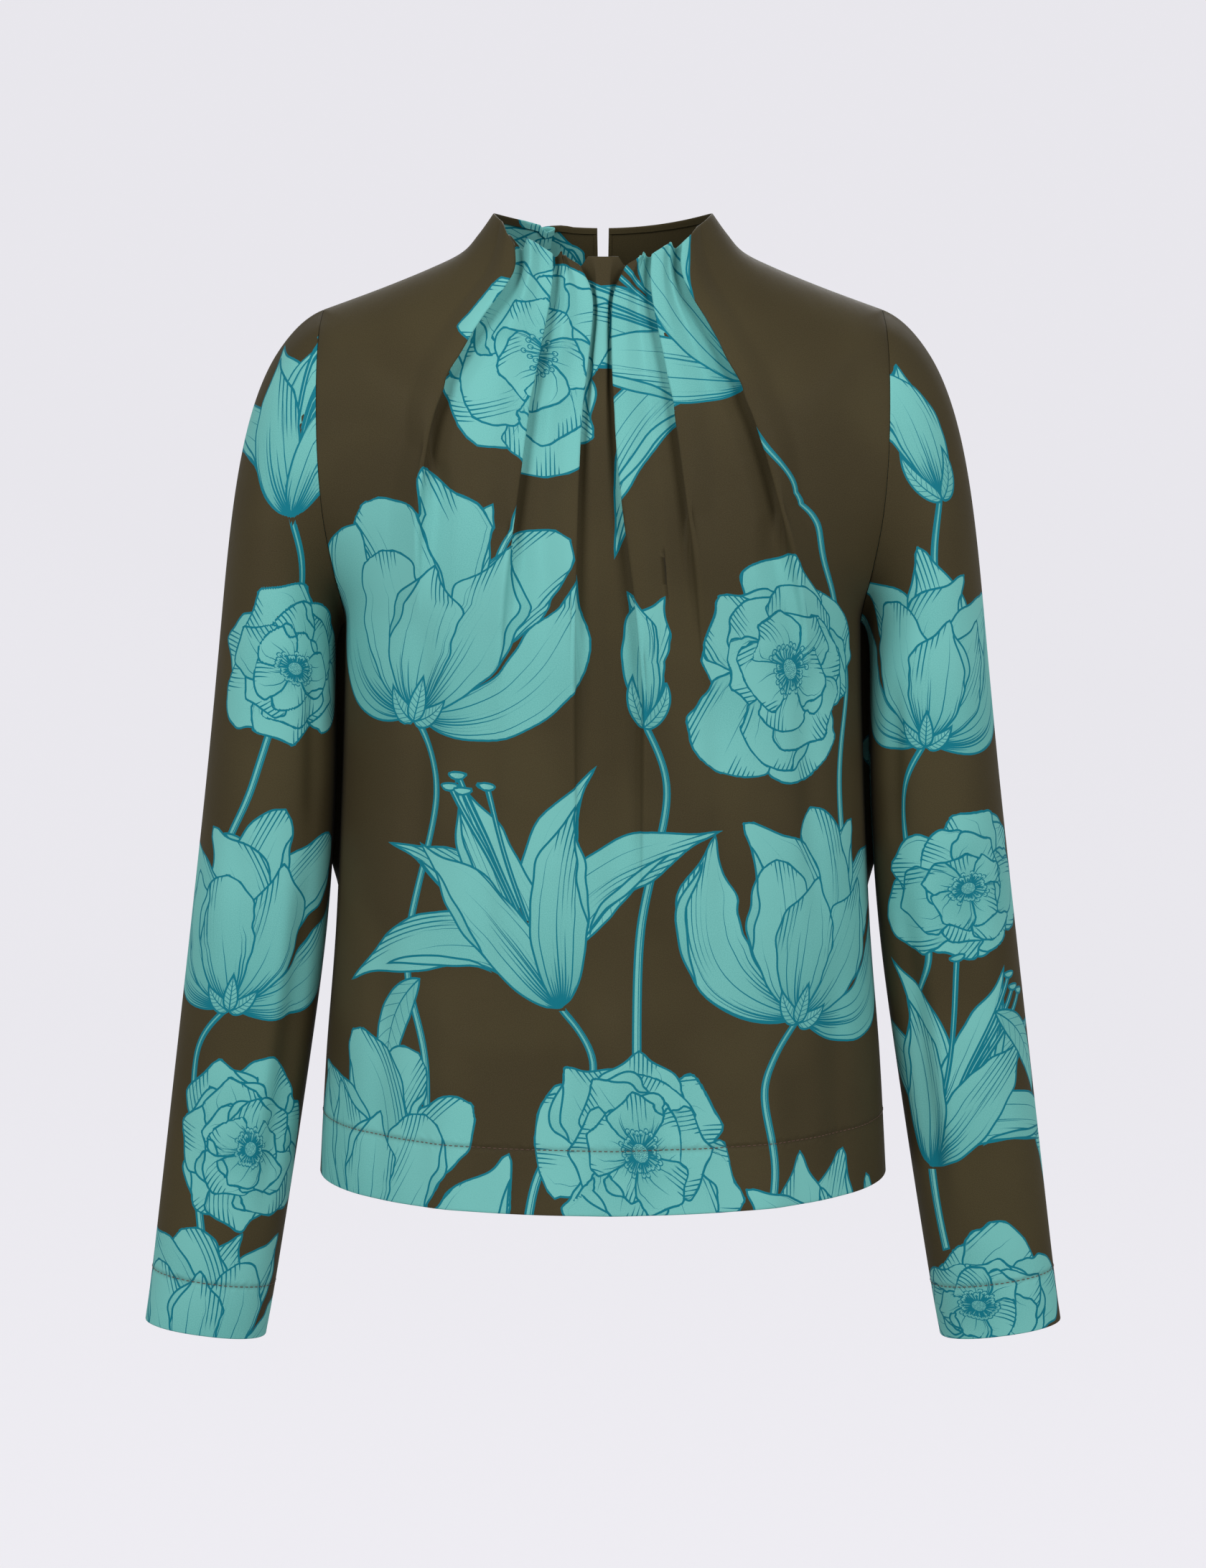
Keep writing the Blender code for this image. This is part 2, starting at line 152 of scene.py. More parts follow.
def bezier(start, leave, arrive, end, t):
    # A cubic from start to end with two handles; t runs along the last axis but one.
    a, b, c, d = (np.asarray(p)[..., None, :] for p in (start, leave, arrive, end))
    t = t[:, None]
    return (1 - t)**3 * a + 3 * t * (1 - t)**2 * b + 3 * t**2 * (1 - t) * c + t**3 * d


def unit(v):
    # A vector over its length.
    return v / np.maximum(np.linalg.norm(v, axis=-1, keepdims=True), 1e-12)


def wayAlong(points, axis=0):
    # How far each point is from the first one of its line, along the line.
    step = np.linalg.norm(np.diff(points, axis=axis), axis=-1)
    return np.concatenate([np.zeros_like(step.take([0], axis)), np.cumsum(step, axis)], axis)


def readLine(at, along, points):
    # The places on a line at some distances along it.
    return np.stack([np.interp(at, along, values) for values in points.T], -1)


def smoothStep(t):
    # 3t^2 - 2t^3, held at 0 and 1 outside.
    t = np.clip(t, 0, 1)
    return t * t * (3 - 2 * t)


def smoothDown(points, sigma, weight):
    # Each point moves towards the mean of its column's neighbours, under a bell of sigma rows.
    reach = 3 * sigma
    bell = np.exp(-0.5 * (np.arange(-reach, reach + 1) / sigma)**2)
    bell /= bell.sum()
    above = 2 * points[:1] - points[reach:0:-1]
    below = 2 * points[-1:] - points[-2:-reach - 2:-1]
    padded = np.concatenate([above, points, below])
    mean = sum(b * padded[i:i + len(points)] for i, b in enumerate(bell))
    return points + (mean - points) * weight


def halfLevels(levels, side):
    # Curves from the middle of a panel to its +X edge, one for each level.
    middleY, middleZ = levels[side + "Y"], levels[side + "Z"]
    edgeY = levels["edgeY"] * (1 if side == "front" else -1)
    deep = (edgeY - middleY) * bodyCut["round"]
    drawnIn = np.abs(deep) / np.tan(np.radians(np.minimum(levels["turn"], 89.9)))
    none = np.zeros_like(middleY)
    start = np.stack([none, middleY, middleZ], 1)
    end = np.stack([levels["edgeX"], edgeY, levels["edgeZ"]], 1)
    leave = start + np.stack([levels["edgeX"] * bodyCut["flatter"], none, none], 1)
    arrive = end - np.stack([drawnIn, deep, none], 1)
    share = np.linspace(0, 1, bodyCut["samples"])
    curves = bezier(start, leave, arrive, end, share)
    if side == "back":                                  # it rolls out a little behind the sleeve
        top, full, low, gone = bodyCut["rollHeights"]
        z = levels["edgeZ"]
        roll = smoothStep((top - z) / (top - full)) * smoothStep((z - gone) / (low - gone))
        rollFrom = bodyCut["rollFrom"]
        bulge = np.sin(np.pi * np.clip((share - rollFrom) / (1 - rollFrom), 0, 1))**2
        curves[:, :, 0] += bodyCut["sideRoll"] * roll[:, None] * bulge
    inner = smoothStep((1 - share) * 4)[:, None]       # the seams stay where they are
    return smoothDown(curves, bodyCut["soften"], inner)


class Panel:
    # A smooth panel: points and outward normals by level and by distance from its middle.
    def __init__(self, curves, middle, flatEnds):
        along = wayAlong(curves, 1)
        self.middle, self.length = along[:, middle], along[:, -1]
        even = np.linspace(0, 1, curves.shape[1])
        self.points = np.stack([readLine(even * a[-1], a, c) for a, c in zip(along, curves)])
        normal = np.cross(np.gradient(self.points, axis=0), np.gradient(self.points, axis=1))
        for end in {-1, 0 if middle else -1}:
            normal[flatEnds, end, 1] = 0
        self.normals = unit(normal)

    def read(self, distance):
        last = self.points.shape[1] - 1
        at = np.clip((distance + self.middle[:, None]) / self.length[:, None], 0, 1) * last
        first = np.minimum(at.astype(int), last - 1)
        share = (at - first)[:, :, None]
        row = np.arange(len(at))[:, None]
        point = self.points[row, first] * (1 - share) + self.points[row, first + 1] * share
        normal = self.normals[row, first] * (1 - share) + self.normals[row, first + 1] * share
        return point, normal

    def distanceAt(self, x):
        return np.array([np.interp(value, row[:, 0], np.linspace(0, length, len(row)) - middle)
                         for value, row, length, middle
                         in zip(x, self.points, self.length, self.middle)])


def fade(height, top, bottom):
    # 1 above top, 0 below bottom, smooth between.
    return 1 - smoothStep((top - height) / (top - bottom))


def pleatEdges(panel, height, pleats):
    # Where each pleat's fold lies on each level: its x runs through the table's four places, spaced
    # as the square root of the depth below the neck, and is turned into a distance on the panel.
    table = np.array([[p[name] for p in pleats] for name in pleatCut["columns"][1:5]])
    at = np.minimum(np.sqrt((height[0] - height) / pleatCut["depth"]), 3)
    return [panel.distanceAt(x) for x in readTable(table, at).T]


def pleatColumns(p, height, edge, behind, ahead):
    # Distances, rises and drops of one pleat's columns: a flat fold that unrolls lower down.
    count = (len(pleatCut["section"]) - 1) * pleatCut["finer"]
    s = dict(zip(pleatCut["sectionColumns"], smoothTable(pleatCut["section"], count).T))
    halfway = 0.5 * (p["foldedZ"] + p["goneZ"])
    opening = 1 - fade(height, p["foldedZ"], halfway)[:, None]
    ridge = fade(height, 0.4 * p["foldedZ"] + 0.6 * halfway, p["goneZ"])[:, None]
    tuck = p["tuck"] + (pleatCut["leastTuck"] - p["tuck"]) * np.minimum(opening * 2, 1)
    folded = 1 - np.maximum(opening * 2 - 1, 0)
    climb = np.clip(0.50 * (behind - p["tuck"] - 0.002), *pleatCut["climb"])[:, None]
    trough = np.clip(0.45 * (ahead - p["tuck"] - 0.003), *pleatCut["trough"])[:, None]
    laid = s["tucks"] * tuck + s["plus"] + s["climb"] * climb + s["trough"] * trough
    room = np.where(s["open"] < 0, behind[:, None], ahead[:, None]) * 0.46
    spread = s["open"] * np.minimum(room, pleatCut["room"])
    across = edge[:, None] + p["faces"] * (folded * laid + (1 - folded) * spread)
    rise = ridge * (folded * s["rise"] + (1 - folded) * s["openRise"]) * pleatCut["layer"] * p["deep"]
    low = np.interp(laid, [-2 * p["tuck"], 0.0, 0.5 * p["tuck"]], [0, p["dip"], 0])
    drop = fade(height - height[0], -0.002, -0.035)[:, None] * low
    order = slice(None) if p["faces"] > 0 else slice(None, None, -1)
    return across[:, order], rise[:, order], drop[:, order]


def relief(creases, across, height):
    # Soft ridges and troughs: each runs from one place to another, with a bell for its section.
    total = np.zeros_like(across)
    for x0, z0, x1, z1, bend, width, rise in creases:
        along = np.array([x1 - x0, z1 - z0])
        length = np.linalg.norm(along)
        dx, dz = along / length
        t = ((across - x0) * dx + (height - z0) * dz) / length
        off = (across - x0) * -dz + (height - z0) * dx - bend * 4 * t * (1 - t)
        ends = smoothStep(t / 0.35) * smoothStep((1 - t) / 0.35)
        total += rise * np.exp(-(off / width)**2) * ends
    return total


def pleatedGrid(panel, height, pleats, first, last, between, creases):
    # Columns of distances: the two edges, each pleat's own, and even steps between them. A point is
    # the panel's there, plus its normal times the rise, less the drop.
    pleats = [dict(zip(pleatCut["columns"], row)) for row in pleats]
    edges = [first] + (pleatEdges(panel, height, pleats) if pleats else []) + [last]
    none = np.zeros((len(height), 1))
    blocks = [(first[:, None], none, none)]
    for i, p in enumerate(pleats):
        sides = (edges[i + 1] - edges[i], edges[i + 2] - edges[i + 1])
        behind, ahead = sides if p["faces"] > 0 else sides[::-1]
        blocks.append(pleatColumns(p, height, edges[i + 1], behind, ahead))
    blocks.append((last[:, None], none, none))
    columns = [list(blocks[0])]
    for left, right, count in zip(blocks, blocks[1:], between):
        t = np.linspace(0, 1, count + 2)[1:-1]
        columns.append([a[:, -1:] * (1 - t) + b[:, :1] * t for a, b in zip(left, right)])
        columns.append(right)
    across, rise, drop = (np.concatenate(parts, 1) for parts in zip(*columns))
    point, normal = panel.read(across)
    rise = rise + relief(creases, across, point[:, :, 2])
    point = point + normal * rise[:, :, None]
    point[:, :, 2] -= drop
    return point


def frontGrid(levels, creases):
    # The half curves and their mirror image make the panel, and the pleats are laid on it.
    half = halfLevels(levels, "front")
    mirrored = half[:, :0:-1] * (-1, 1, 1)
    curves = np.concatenate([mirrored, half], 1)
    panel = Panel(curves, bodyCut["samples"] - 1, levels["turn"] > 89)
    edge = panel.length / 2 - bodyCut["seamGap"] / 2
    between = (32, 2, 2, 5, 2, 8, 26)
    return pleatedGrid(panel, levels["frontZ"], pleatCut["front"], -edge, edge, between, creases)


def backGrid(levels, side, pleats, creases):
    # The half curves from the slit's edge to the side seam. The slit narrows as depth^0.7.
    panel = Panel(halfLevels(levels, "back"), 0, levels["turn"] > 89)
    panel.normals *= -1
    below = levels["backZ"][0] - levels["backZ"]
    openShare = np.clip(1 - below / slitCut["depth"], 0, 1)**0.7
    first = np.maximum(bodyCut["seamGap"] / 2, openShare * slitCut["width"] / 2)
    last = panel.length - bodyCut["seamGap"] / 2
    between = (14, 66) if pleats else (112,)
    grid = pleatedGrid(panel, levels["backZ"], pleats, first, last, between, creases)
    return grid * (side, 1, 1)


def bodyReach(levels, points):
    # How far out the body reaches at the height and depth of each point, as an ellipse.
    rows = slice(None, bodyCut["rows"][0] + bodyCut["rows"][1] - 1, -1)
    wide, front, back = (np.interp(points[..., 2], levels["edgeZ"][rows], levels[name][rows])
                         for name in ("edgeX", "frontY", "backY"))
    share = points[..., 1] / np.where(points[..., 1] < 0, front, back)
    return wide * np.sqrt(np.maximum(1 - share**2, 0))


def sleeveGrid(levels, side, creases):
    # Rings from the armhole to the wrist; columns from the underarm round the back and the top.
    first, count = bodyCut["rows"][:2]
    rows = slice(first, first + count + 1)
    front = np.stack([levels[name][rows] for name in ("edgeX", "edgeY", "edgeZ")], 1)
    armhole = np.concatenate([front[::-1] * (1, -1, 1), front[1:]])
    angle = np.linspace(-np.pi, np.pi, len(armhole))
    s = dict(zip(sleeveCut["columns"], smoothTable(sleeveCut["levels"], sleeveCut["rows"][1]).T))
    outer = np.stack([s["outerX"], -s["forward"], s["outerZ"]], 1)[:, None]
    inner = np.stack([s["innerX"], -s["forward"], s["innerZ"]], 1)[:, None]
    middle, wide = (outer + inner) / 2, (outer - inner) / 2
    deep = s["depth"][:, None, None] * np.array([0.0, -1.0, 0.0])
    flatCos, flatSin = (np.sign(v) * np.abs(v)**sleeveCut["corners"]
                        for v in (np.cos(angle), np.sin(angle)))
    rings = middle + wide * flatCos[:, None] + deep * flatSin[:, None]
    x, least = rings[..., 0], bodyReach(levels, rings) + sleeveCut["clear"]
    rings[..., 0] = (x + least + np.sqrt((x - least)**2 + 0.003**2)) / 2
    top = (1 + np.cos(angle)[:, None]) / 2
    leave = top * sleeveCut["leaveTop"] + (1 - top) * sleeveCut["leaveUnder"]
    leave = leave * (0.008 + 0.040 * top**2)
    belly = (np.sin(angle)**2)[:, None]
    leave = leave * (1 - belly) + belly * sleeveCut["leaveBelly"]
    leave[:, 1] += 0.006 * np.sin(angle) * belly[:, 0]
    arrive = unit(rings[0] - rings[1]) * (0.018 + 0.062 * top**1.5)
    start = armhole + unit(leave) * sleeveCut["start"]
    t = np.linspace(0, 1, sleeveCut["rows"][0] + 1)[:-1]
    cap = bezier(start, start + leave, rings[0] + arrive, rings[0], t).transpose(1, 0, 2)
    grid = np.concatenate([cap, rings])
    grid = smoothDown(grid, 4, smoothStep(np.arange(len(grid)) / 12)[:, None, None])
    gap = bodyCut["seamGap"] / 2
    grid[:, 0] += unit(grid[:, 1] - grid[:, 0]) * gap
    grid[:, -1] += unit(grid[:, -2] - grid[:, -1]) * gap
    normal = gridNormals(grid, (1, 0, 0))
    turn = np.degrees(angle)[None, :] + np.zeros((len(grid), 1))
    grid = grid + normal * relief(creases, turn / 1000, grid[:, :, 2])[:, :, None]
    return grid * (side, 1, 1)


def flatPlaces(grid, middle):
    # Where each point lies in the cloth: across is the way along its row from the middle column,
    # folds and all; up is its height, stretched as the middle column is longer than it is high.
    across = wayAlong(grid[:, :, :2], 1)
    across -= across[:, middle:middle + 1]
    up = -wayAlong(grid[:, middle])
    level = grid[:, middle, 2]
    slope = np.gradient(up) / np.minimum(np.gradient(level), -1e-5)
    slope = np.clip(slope, 1, 1.35)[:, None]
    return np.stack([across, up[:, None] + (grid[:, :, 2] - level[:, None]) * slope], 2)


def sleevePlaces(grid, middle):
    # As flatPlaces for a sleeve, whose rows slant at its cap: across is the way round from its
    # outer line at one height, and up is the way down the steepest slope.
    z = grid[:, :, 2]
    heights = np.linspace(z.min(), z.max(), 260)
    columns = grid[::-1].swapaxes(0, 1)
    section = np.stack([readLine(heights, column[:, 2], column[:, :2]) for column in columns], 1)
    way = wayAlong(section, 1)
    way -= way[:, middle:middle + 1]
    across = np.stack([np.interp(z[:, j], heights, way[:, j]) for j in range(z.shape[1])], 1)
    steep = np.sqrt(np.clip(1 - gridNormals(grid, (1, 0, 0))[:, :, 2]**2, 0.2, 1))
    fall = np.diff(z, axis=0) * 2 / (steep[1:] + steep[:-1])
    up = np.concatenate([np.zeros((1, z.shape[1])), np.cumsum(fall, 0)])
    level = np.stack([np.interp(0.30, -z[:, j], up[:, j]) for j in range(z.shape[1])])
    return np.stack([across, up - level + level[middle]], 2)


def gridNormals(grid, outward):
    # The cross product of the two gradients, turned so that the middle one points outward.
    normal = unit(np.cross(np.gradient(grid, axis=0), np.gradient(grid, axis=1)))
    middle = normal[len(grid) // 2, grid.shape[1] // 2]
    return normal * (1 if middle @ np.array(outward) > 0 else -1)


turned = dict(
    fold=0.00060, edge=0.00022,           # radius of a hem's roll and of a seam's
    rollSteps=4,
    neck=3, hem=18, cuff=15, seam=2,      # rows turned back
)


def turnEdge(grid, flat, normal, radius, count):
    # Rolls the end of the rows under, through half a circle, and takes it back count rows.
    out = unit(grid[-1] - grid[-2])
    angle = np.linspace(0, np.pi, turned["rollSteps"] + 1)[1:, None, None]
    radius = np.broadcast_to(radius, grid.shape[1])[None, :, None]
    roll = grid[-1] + radius * (np.sin(angle) * out - (1 - np.cos(angle)) * normal[-1])
    inner = (grid - 2 * radius * normal)[-2:-2 - count:-1]
    outFlat = unit(flat[-1] - flat[-2])
    rollFlat = flat[-1] + outFlat * radius * angle
    innerFlat = 2 * flat[-1] - flat[-2:-2 - count:-1] + outFlat * radius * np.pi
    return (np.concatenate([grid, roll, inner]), np.concatenate([flat, rollFlat, innerFlat]))


def turnEdges(grid, flat, outward, turns):
    # turns gives the radius and the count of rows for the top, bottom, left and right edge.
    flips = dict(top=(0, -1), bottom=(0, 1), left=(1, -1), right=(1, 1))
    for name, (radius, count) in turns.items():
        axis, way = flips[name]
        step = slice(None, None, way)
        g, f = (a.swapaxes(0, axis)[step] for a in (grid, flat))
        n = gridNormals(grid, outward).swapaxes(0, axis)[step]
        g, f = turnEdge(g, f, n, radius, count)
        grid, flat = (a[step].swapaxes(0, axis) for a in (g, f))
    return grid, flat


def clothMesh(name, grid, flat, outward):
    # One face for each cell of the grid, facing outward, with the flat places as its UV map.
    rows, columns = grid.shape[:2]
    index = np.arange(rows * columns).reshape(rows, columns)
    corners = [index[:-1, :-1], index[1:, :-1], index[1:, 1:], index[:-1, 1:]]
    if gridNormals(grid, outward)[rows // 2, columns // 2] @ np.cross(
            grid[rows // 2, columns // 2 + 1] - grid[rows // 2, columns // 2],
            grid[rows // 2 + 1, columns // 2] - grid[rows // 2, columns // 2]) > 0:
        corners = corners[::-1]
    faces = np.stack([c.ravel() for c in corners], 1)
    mesh = bpy.data.meshes.new(name)
    mesh.vertices.add(rows * columns)
    mesh.vertices.foreach_set("co", grid.astype(np.float32).ravel())
    mesh.loops.add(faces.size)
    mesh.loops.foreach_set("vertex_index", faces.astype(np.int32).ravel())
    mesh.polygons.add(len(faces))
    mesh.polygons.foreach_set("loop_start", np.arange(0, faces.size, 4, dtype=np.int32))
    mesh.update(calc_edges=True)
    mesh.shade_smooth()
    uv = mesh.uv_layers.new(name="cloth")
    uv.data.foreach_set("uv", flat.reshape(-1, 2)[faces].astype(np.float32).ravel())
    return mesh, faces


# The print: each shape is an outline round its midrib, and the shapes lie over each other.
petalKind, stemKind, leafKind, seedKind, curlKind = 1, 2, 3, 4, 5
printCut = dict(
    layers=5,                             # shapes that one place can carry
    petalSteps=33, curlSteps=21, stemSteps=15,
    spread=54, fan=4,                     # degrees to a side bloom's outer petals, and petals between
    reach=0.006, slack=0.0003,            # round a shape, where faces are looked for and kept
)


def ribbon(path, left, right, kind, seed):
    # A shape round a midrib: half widths to the left and right at even steps along the path.
    along = wayAlong(path)
    return dict(path=path, left=left, right=right, kind=kind, seed=seed % 1, length=along[-1], along=along)


def petal(base, tip, width, bend, blunt, foot, wave, kind, seed, hook=0.0, point=0.0):
    # Half width is t^foot (1-t)^blunt, scaled to the width, narrowed to a point near the tip and
    # with a wavy edge. The midrib bends as 4t(1-t) and hooks aside as t^3.
    base, tip = np.array(base, float), np.array(tip, float)
    t = np.linspace(0, 1, printCut["petalSteps"])
    along = tip - base
    across = np.array([-along[1], along[0]])
    path = base + t[:, None] * along + (4 * t * (1 - t) * bend + hook * t**3)[:, None] * across
    peak = foot / (foot + blunt)
    half = width / 2 * t**foot * (1 - t)**blunt / (peak**foot * (1 - peak)**blunt)
    half = half * (1 - 0.6 * point * smoothStep((t - 0.70) / 0.24))
    edges = [half * (1 + wave * t * (np.sin(2 * np.pi * (f * t + seed * 7 * s))
                                     + 0.5 * np.sin(2 * np.pi * (2.3 * f * t + seed * 11 * s))))
             for f, s in ((2.3, 1.0), (2.9, 1.7))]
    return ribbon(path, *edges, kind, seed)


def curl(shape, side, start, end, width):
    # A turned rim on a petal: a thin crescent along its edge.
    t = np.linspace(start, end, printCut["curlSteps"])
    even = np.linspace(0, 1, len(shape["path"]))
    middle = readLine(t, even, shape["path"])
    half = np.interp(t, even, shape["left" if side > 0 else "right"])
    way = unit(np.gradient(middle, axis=0))
    across = np.stack([-way[:, 1], way[:, 0]], 1) * side
    share = np.linspace(0, 1, printCut["curlSteps"])
    thick = width * np.sin(np.pi * share)**0.8
    path = middle + across * (half - thick * 0.8)[:, None]
    return ribbon(path, thick, thick, curlKind, shape["seed"] + 0.37)


def stem(points, width, seed):
    # A band along a smooth curve through the points, a little wider at its foot.
    count = printCut["stemSteps"] * (len(points) - 1)
    path = smoothTable(points, count)
    half = width / 2 * np.linspace(0.8, 1.15, count + 1)
    return ribbon(path, half, half, stemKind, seed)


def towards(x, y, angle, reach):
    # The place at a reach from (x, y), in the angle's direction.
    return np.array([x + reach * np.cos(angle), y + reach * np.sin(angle)])


def blossom(x, y, size, turn, rng):
    # A wide open flower seen at a slant: rings of petals round a head of threads.
    ahead, aside = np.array([np.cos(turn), np.sin(turn)]), np.array([-np.sin(turn), np.cos(turn)])
    centre = np.array([x, y])
    flatten = printLook["seedFlat"]

    def place(angle, reach):
        return centre + reach * (np.cos(angle) * ahead * flatten + np.sin(angle) * aside)

    shapes = []
    rings = ((7, 0.55, 0.62), (6, 0.43, 0.70), (5, 0.29, 0.74))     # petals, reach and width
    for ring, (count, reach, share) in enumerate(rings):
        for k in rng.permutation(count):
            angle = 2 * np.pi * (k + 0.5 * ring) / count + rng.uniform(-0.15, 0.15)
            far = reach * size * rng.uniform(0.90, 1.08)
            wide = share * far * (1 + 0.5 * (1 - flatten) * np.cos(angle)**2) * 1.25
            shape = petal(place(angle, 0.02 * size), place(angle, far), wide, rng.uniform(-0.10, 0.10),
                          rng.uniform(0.42, 0.66), 0.85, 0.07, petalKind, rng.random(),
                          rng.uniform(-0.12, 0.12), rng.choice([0.0, 1.0, 1.0]))
            shapes.append(shape)
            if rng.random() < 0.5:
                shapes.append(curl(shape, rng.choice([-1, 1]), 0.45, 0.90, 0.030 * size))
    shapes.append(petal(place(np.pi, 0.15 * size), place(0, 0.15 * size), 0.30 * size,
                        0, 0.5, 0.5, 0, seedKind, rng.random()))
    return shapes


def sideBloom(x, y, size, turn, rng):
    # A flower from the side: back petals, then outer ones, then three in front, and its sepals.
    spread = printCut["spread"]
    fan = np.radians(np.linspace(-spread * 0.6, spread * 0.6, printCut["fan"]))
    rows = [(a, 0.98, 0.36, 0.10 * np.sign(-a), 0.10) for a in fan]
    rows += [(np.radians(a), 0.90, 0.32, 0.16 * np.sign(a), -0.28 * np.sign(a))
             for a in (spread, -spread)]
    rows += [(np.radians(a), 0.78, 0.36, 0.06 * np.sign(a), 0.10)
             for a in (spread * 0.40, -spread * 0.38)]
    rows += [(np.radians(spread * 0.03), 0.66, 0.34, 0.05, 0.08)]
    shapes = []
    for angle, reach, wide, bend, hook in rows:
        reach *= size * rng.uniform(0.92, 1.06)
        a = turn + angle + rng.uniform(-0.06, 0.06)
        shape = petal((x, y), towards(x, y, a, reach), wide * size, bend + rng.uniform(-0.04, 0.04),
                      rng.uniform(0.40, 0.60), 0.75, 0.09, petalKind, rng.random(),
                      hook * rng.uniform(0.4, 1.2), rng.choice([0.0, 1.0, 1.0]))
        shapes.append(shape)
        if rng.random() < 0.6:
            shapes.append(curl(shape, 1 if angle > 0 else -1, 0.45, 0.92, 0.028 * size))
    for a in (-0.95, 0.95, 0.0):
        shapes.append(petal(towards(x, y, turn, -0.035 * size), towards(x, y, turn + a, 0.17 * size),
                            0.085 * size, 0.1 * np.sign(a), 1.1, 0.5, 0, leafKind, rng.random()))
    return shapes


def lily(x, y, size, turn, rng):
    # A trumpet from the side: long petals that hook outwards, threads, then those in front.
    back = ((0.30, 0.96, 0.22, -0.08, 0.20), (-0.32, 0.98, 0.22, 0.08, -0.20),
            (0.02, 1.04, 0.26, 0.03, 0.06))
    front = ((0.60, 0.86, 0.24, -0.12, 0.62), (-0.58, 0.84, 0.24, 0.12, -0.60),
             (0.14, 0.86, 0.25, 0.06, 0.24), (-0.17, 0.80, 0.25, -0.05, -0.26))

    def lay(rows):
        made = []
        for a, reach, wide, bend, hook in rows:
            made.append(petal((x, y), towards(x, y, turn + a + rng.uniform(-0.04, 0.04),
                                              reach * size * rng.uniform(0.95, 1.05)),
                              wide * size, bend, 0.72, 0.62, 0.07, petalKind, rng.random(), hook, 1.0))
            if rng.random() < 0.7:
                made.append(curl(made[-1], np.sign(a), 0.40, 0.88, 0.024 * size))
        return made

    shapes = lay(back)
    for a in rng.uniform(-0.24, 0.24, 4):
        end = towards(x, y, turn + a, size * rng.uniform(0.90, 1.08))
        shapes.append(stem([(x, y), towards(x, y, turn + a * 0.6, 0.55 * size), end], 0.0034, rng.random()))
        lean = turn + a + 1.1
        shapes.append(petal(towards(*end, lean, -0.042 * size), towards(*end, lean, 0.042 * size),
                            0.040 * size, 0.1, 0.5, 0.5, 0, curlKind, rng.random()))
    return shapes + lay(front)


def bud(x, y, size, turn, rng):
    # Three closed petals and two sepals.
    rows = ((0.26, 0.94, 0.36, -0.10), (-0.26, 0.96, 0.36, 0.10), (0.02, 1.0, 0.42, 0.05))
    shapes = [petal((x, y), towards(x, y, turn + a, r * size), w * size, b, 0.62, 0.62, 0.05,
                    petalKind, rng.random(), 0.0, 1.0) for a, r, w, b in rows]
    shapes += [petal(towards(x, y, turn, -0.05 * size), towards(x, y, turn + a, 0.36 * size),
                     0.13 * size, 0.14 * np.sign(a), 1.0, 0.5, 0, leafKind, rng.random())
               for a in (-0.5, 0.5)]
    return shapes


def leaf(x, y, size, turn, rng):
    # One long petal shape that bends to a side.
    bend = rng.uniform(0.08, 0.16) * rng.choice([-1, 1])
    return [petal((x, y), towards(x, y, turn, size), 0.30 * size, bend, 0.95, 0.75, 0.05,
                  leafKind, rng.random())]


motifMakers = dict(blossom=blossom, side=sideBloom, lily=lily, bud=bud, leaf=leaf)


def measure(shape, places):
    # How far along a shape's midrib each place is, how far aside, and the half width there.
    a, b = shape["path"][:-1], shape["path"][1:]
    d = b - a
    size = np.linalg.norm(d, axis=1)
    rel = places[:, None] - a
    t = (rel * d).sum(2) / size**2
    low, high = np.zeros(len(a)), np.ones(len(a))
    low[0], high[-1] = -np.inf, np.inf
    inside = np.clip(t, low, high)
    gap = np.linalg.norm(rel - inside[:, :, None] * d, axis=2)
    near = gap.argmin(1)
    row = np.arange(len(places))
    along = shape["along"][near] + inside[row, near] * size[near]
    way = d[near] / size[near, None]
    off = rel[row, near]
    aside = way[:, 0] * off[:, 1] - way[:, 1] * off[:, 0]
    even = np.linspace(0, 1, len(shape["path"]))
    u = along / shape["length"]
    left, right = np.interp(u, even, shape["left"]), np.interp(u, even, shape["right"])
    half = np.where(aside > 0, left, right)
    rate = [np.gradient(shape[name], shape["length"] / (len(even) - 1)) for name in ("left", "right")]
    slope = np.where(aside > 0, np.interp(u, even, rate[0]), np.interp(u, even, rate[1]))
    return u, aside, half, 1 / np.sqrt(1 + slope**2)


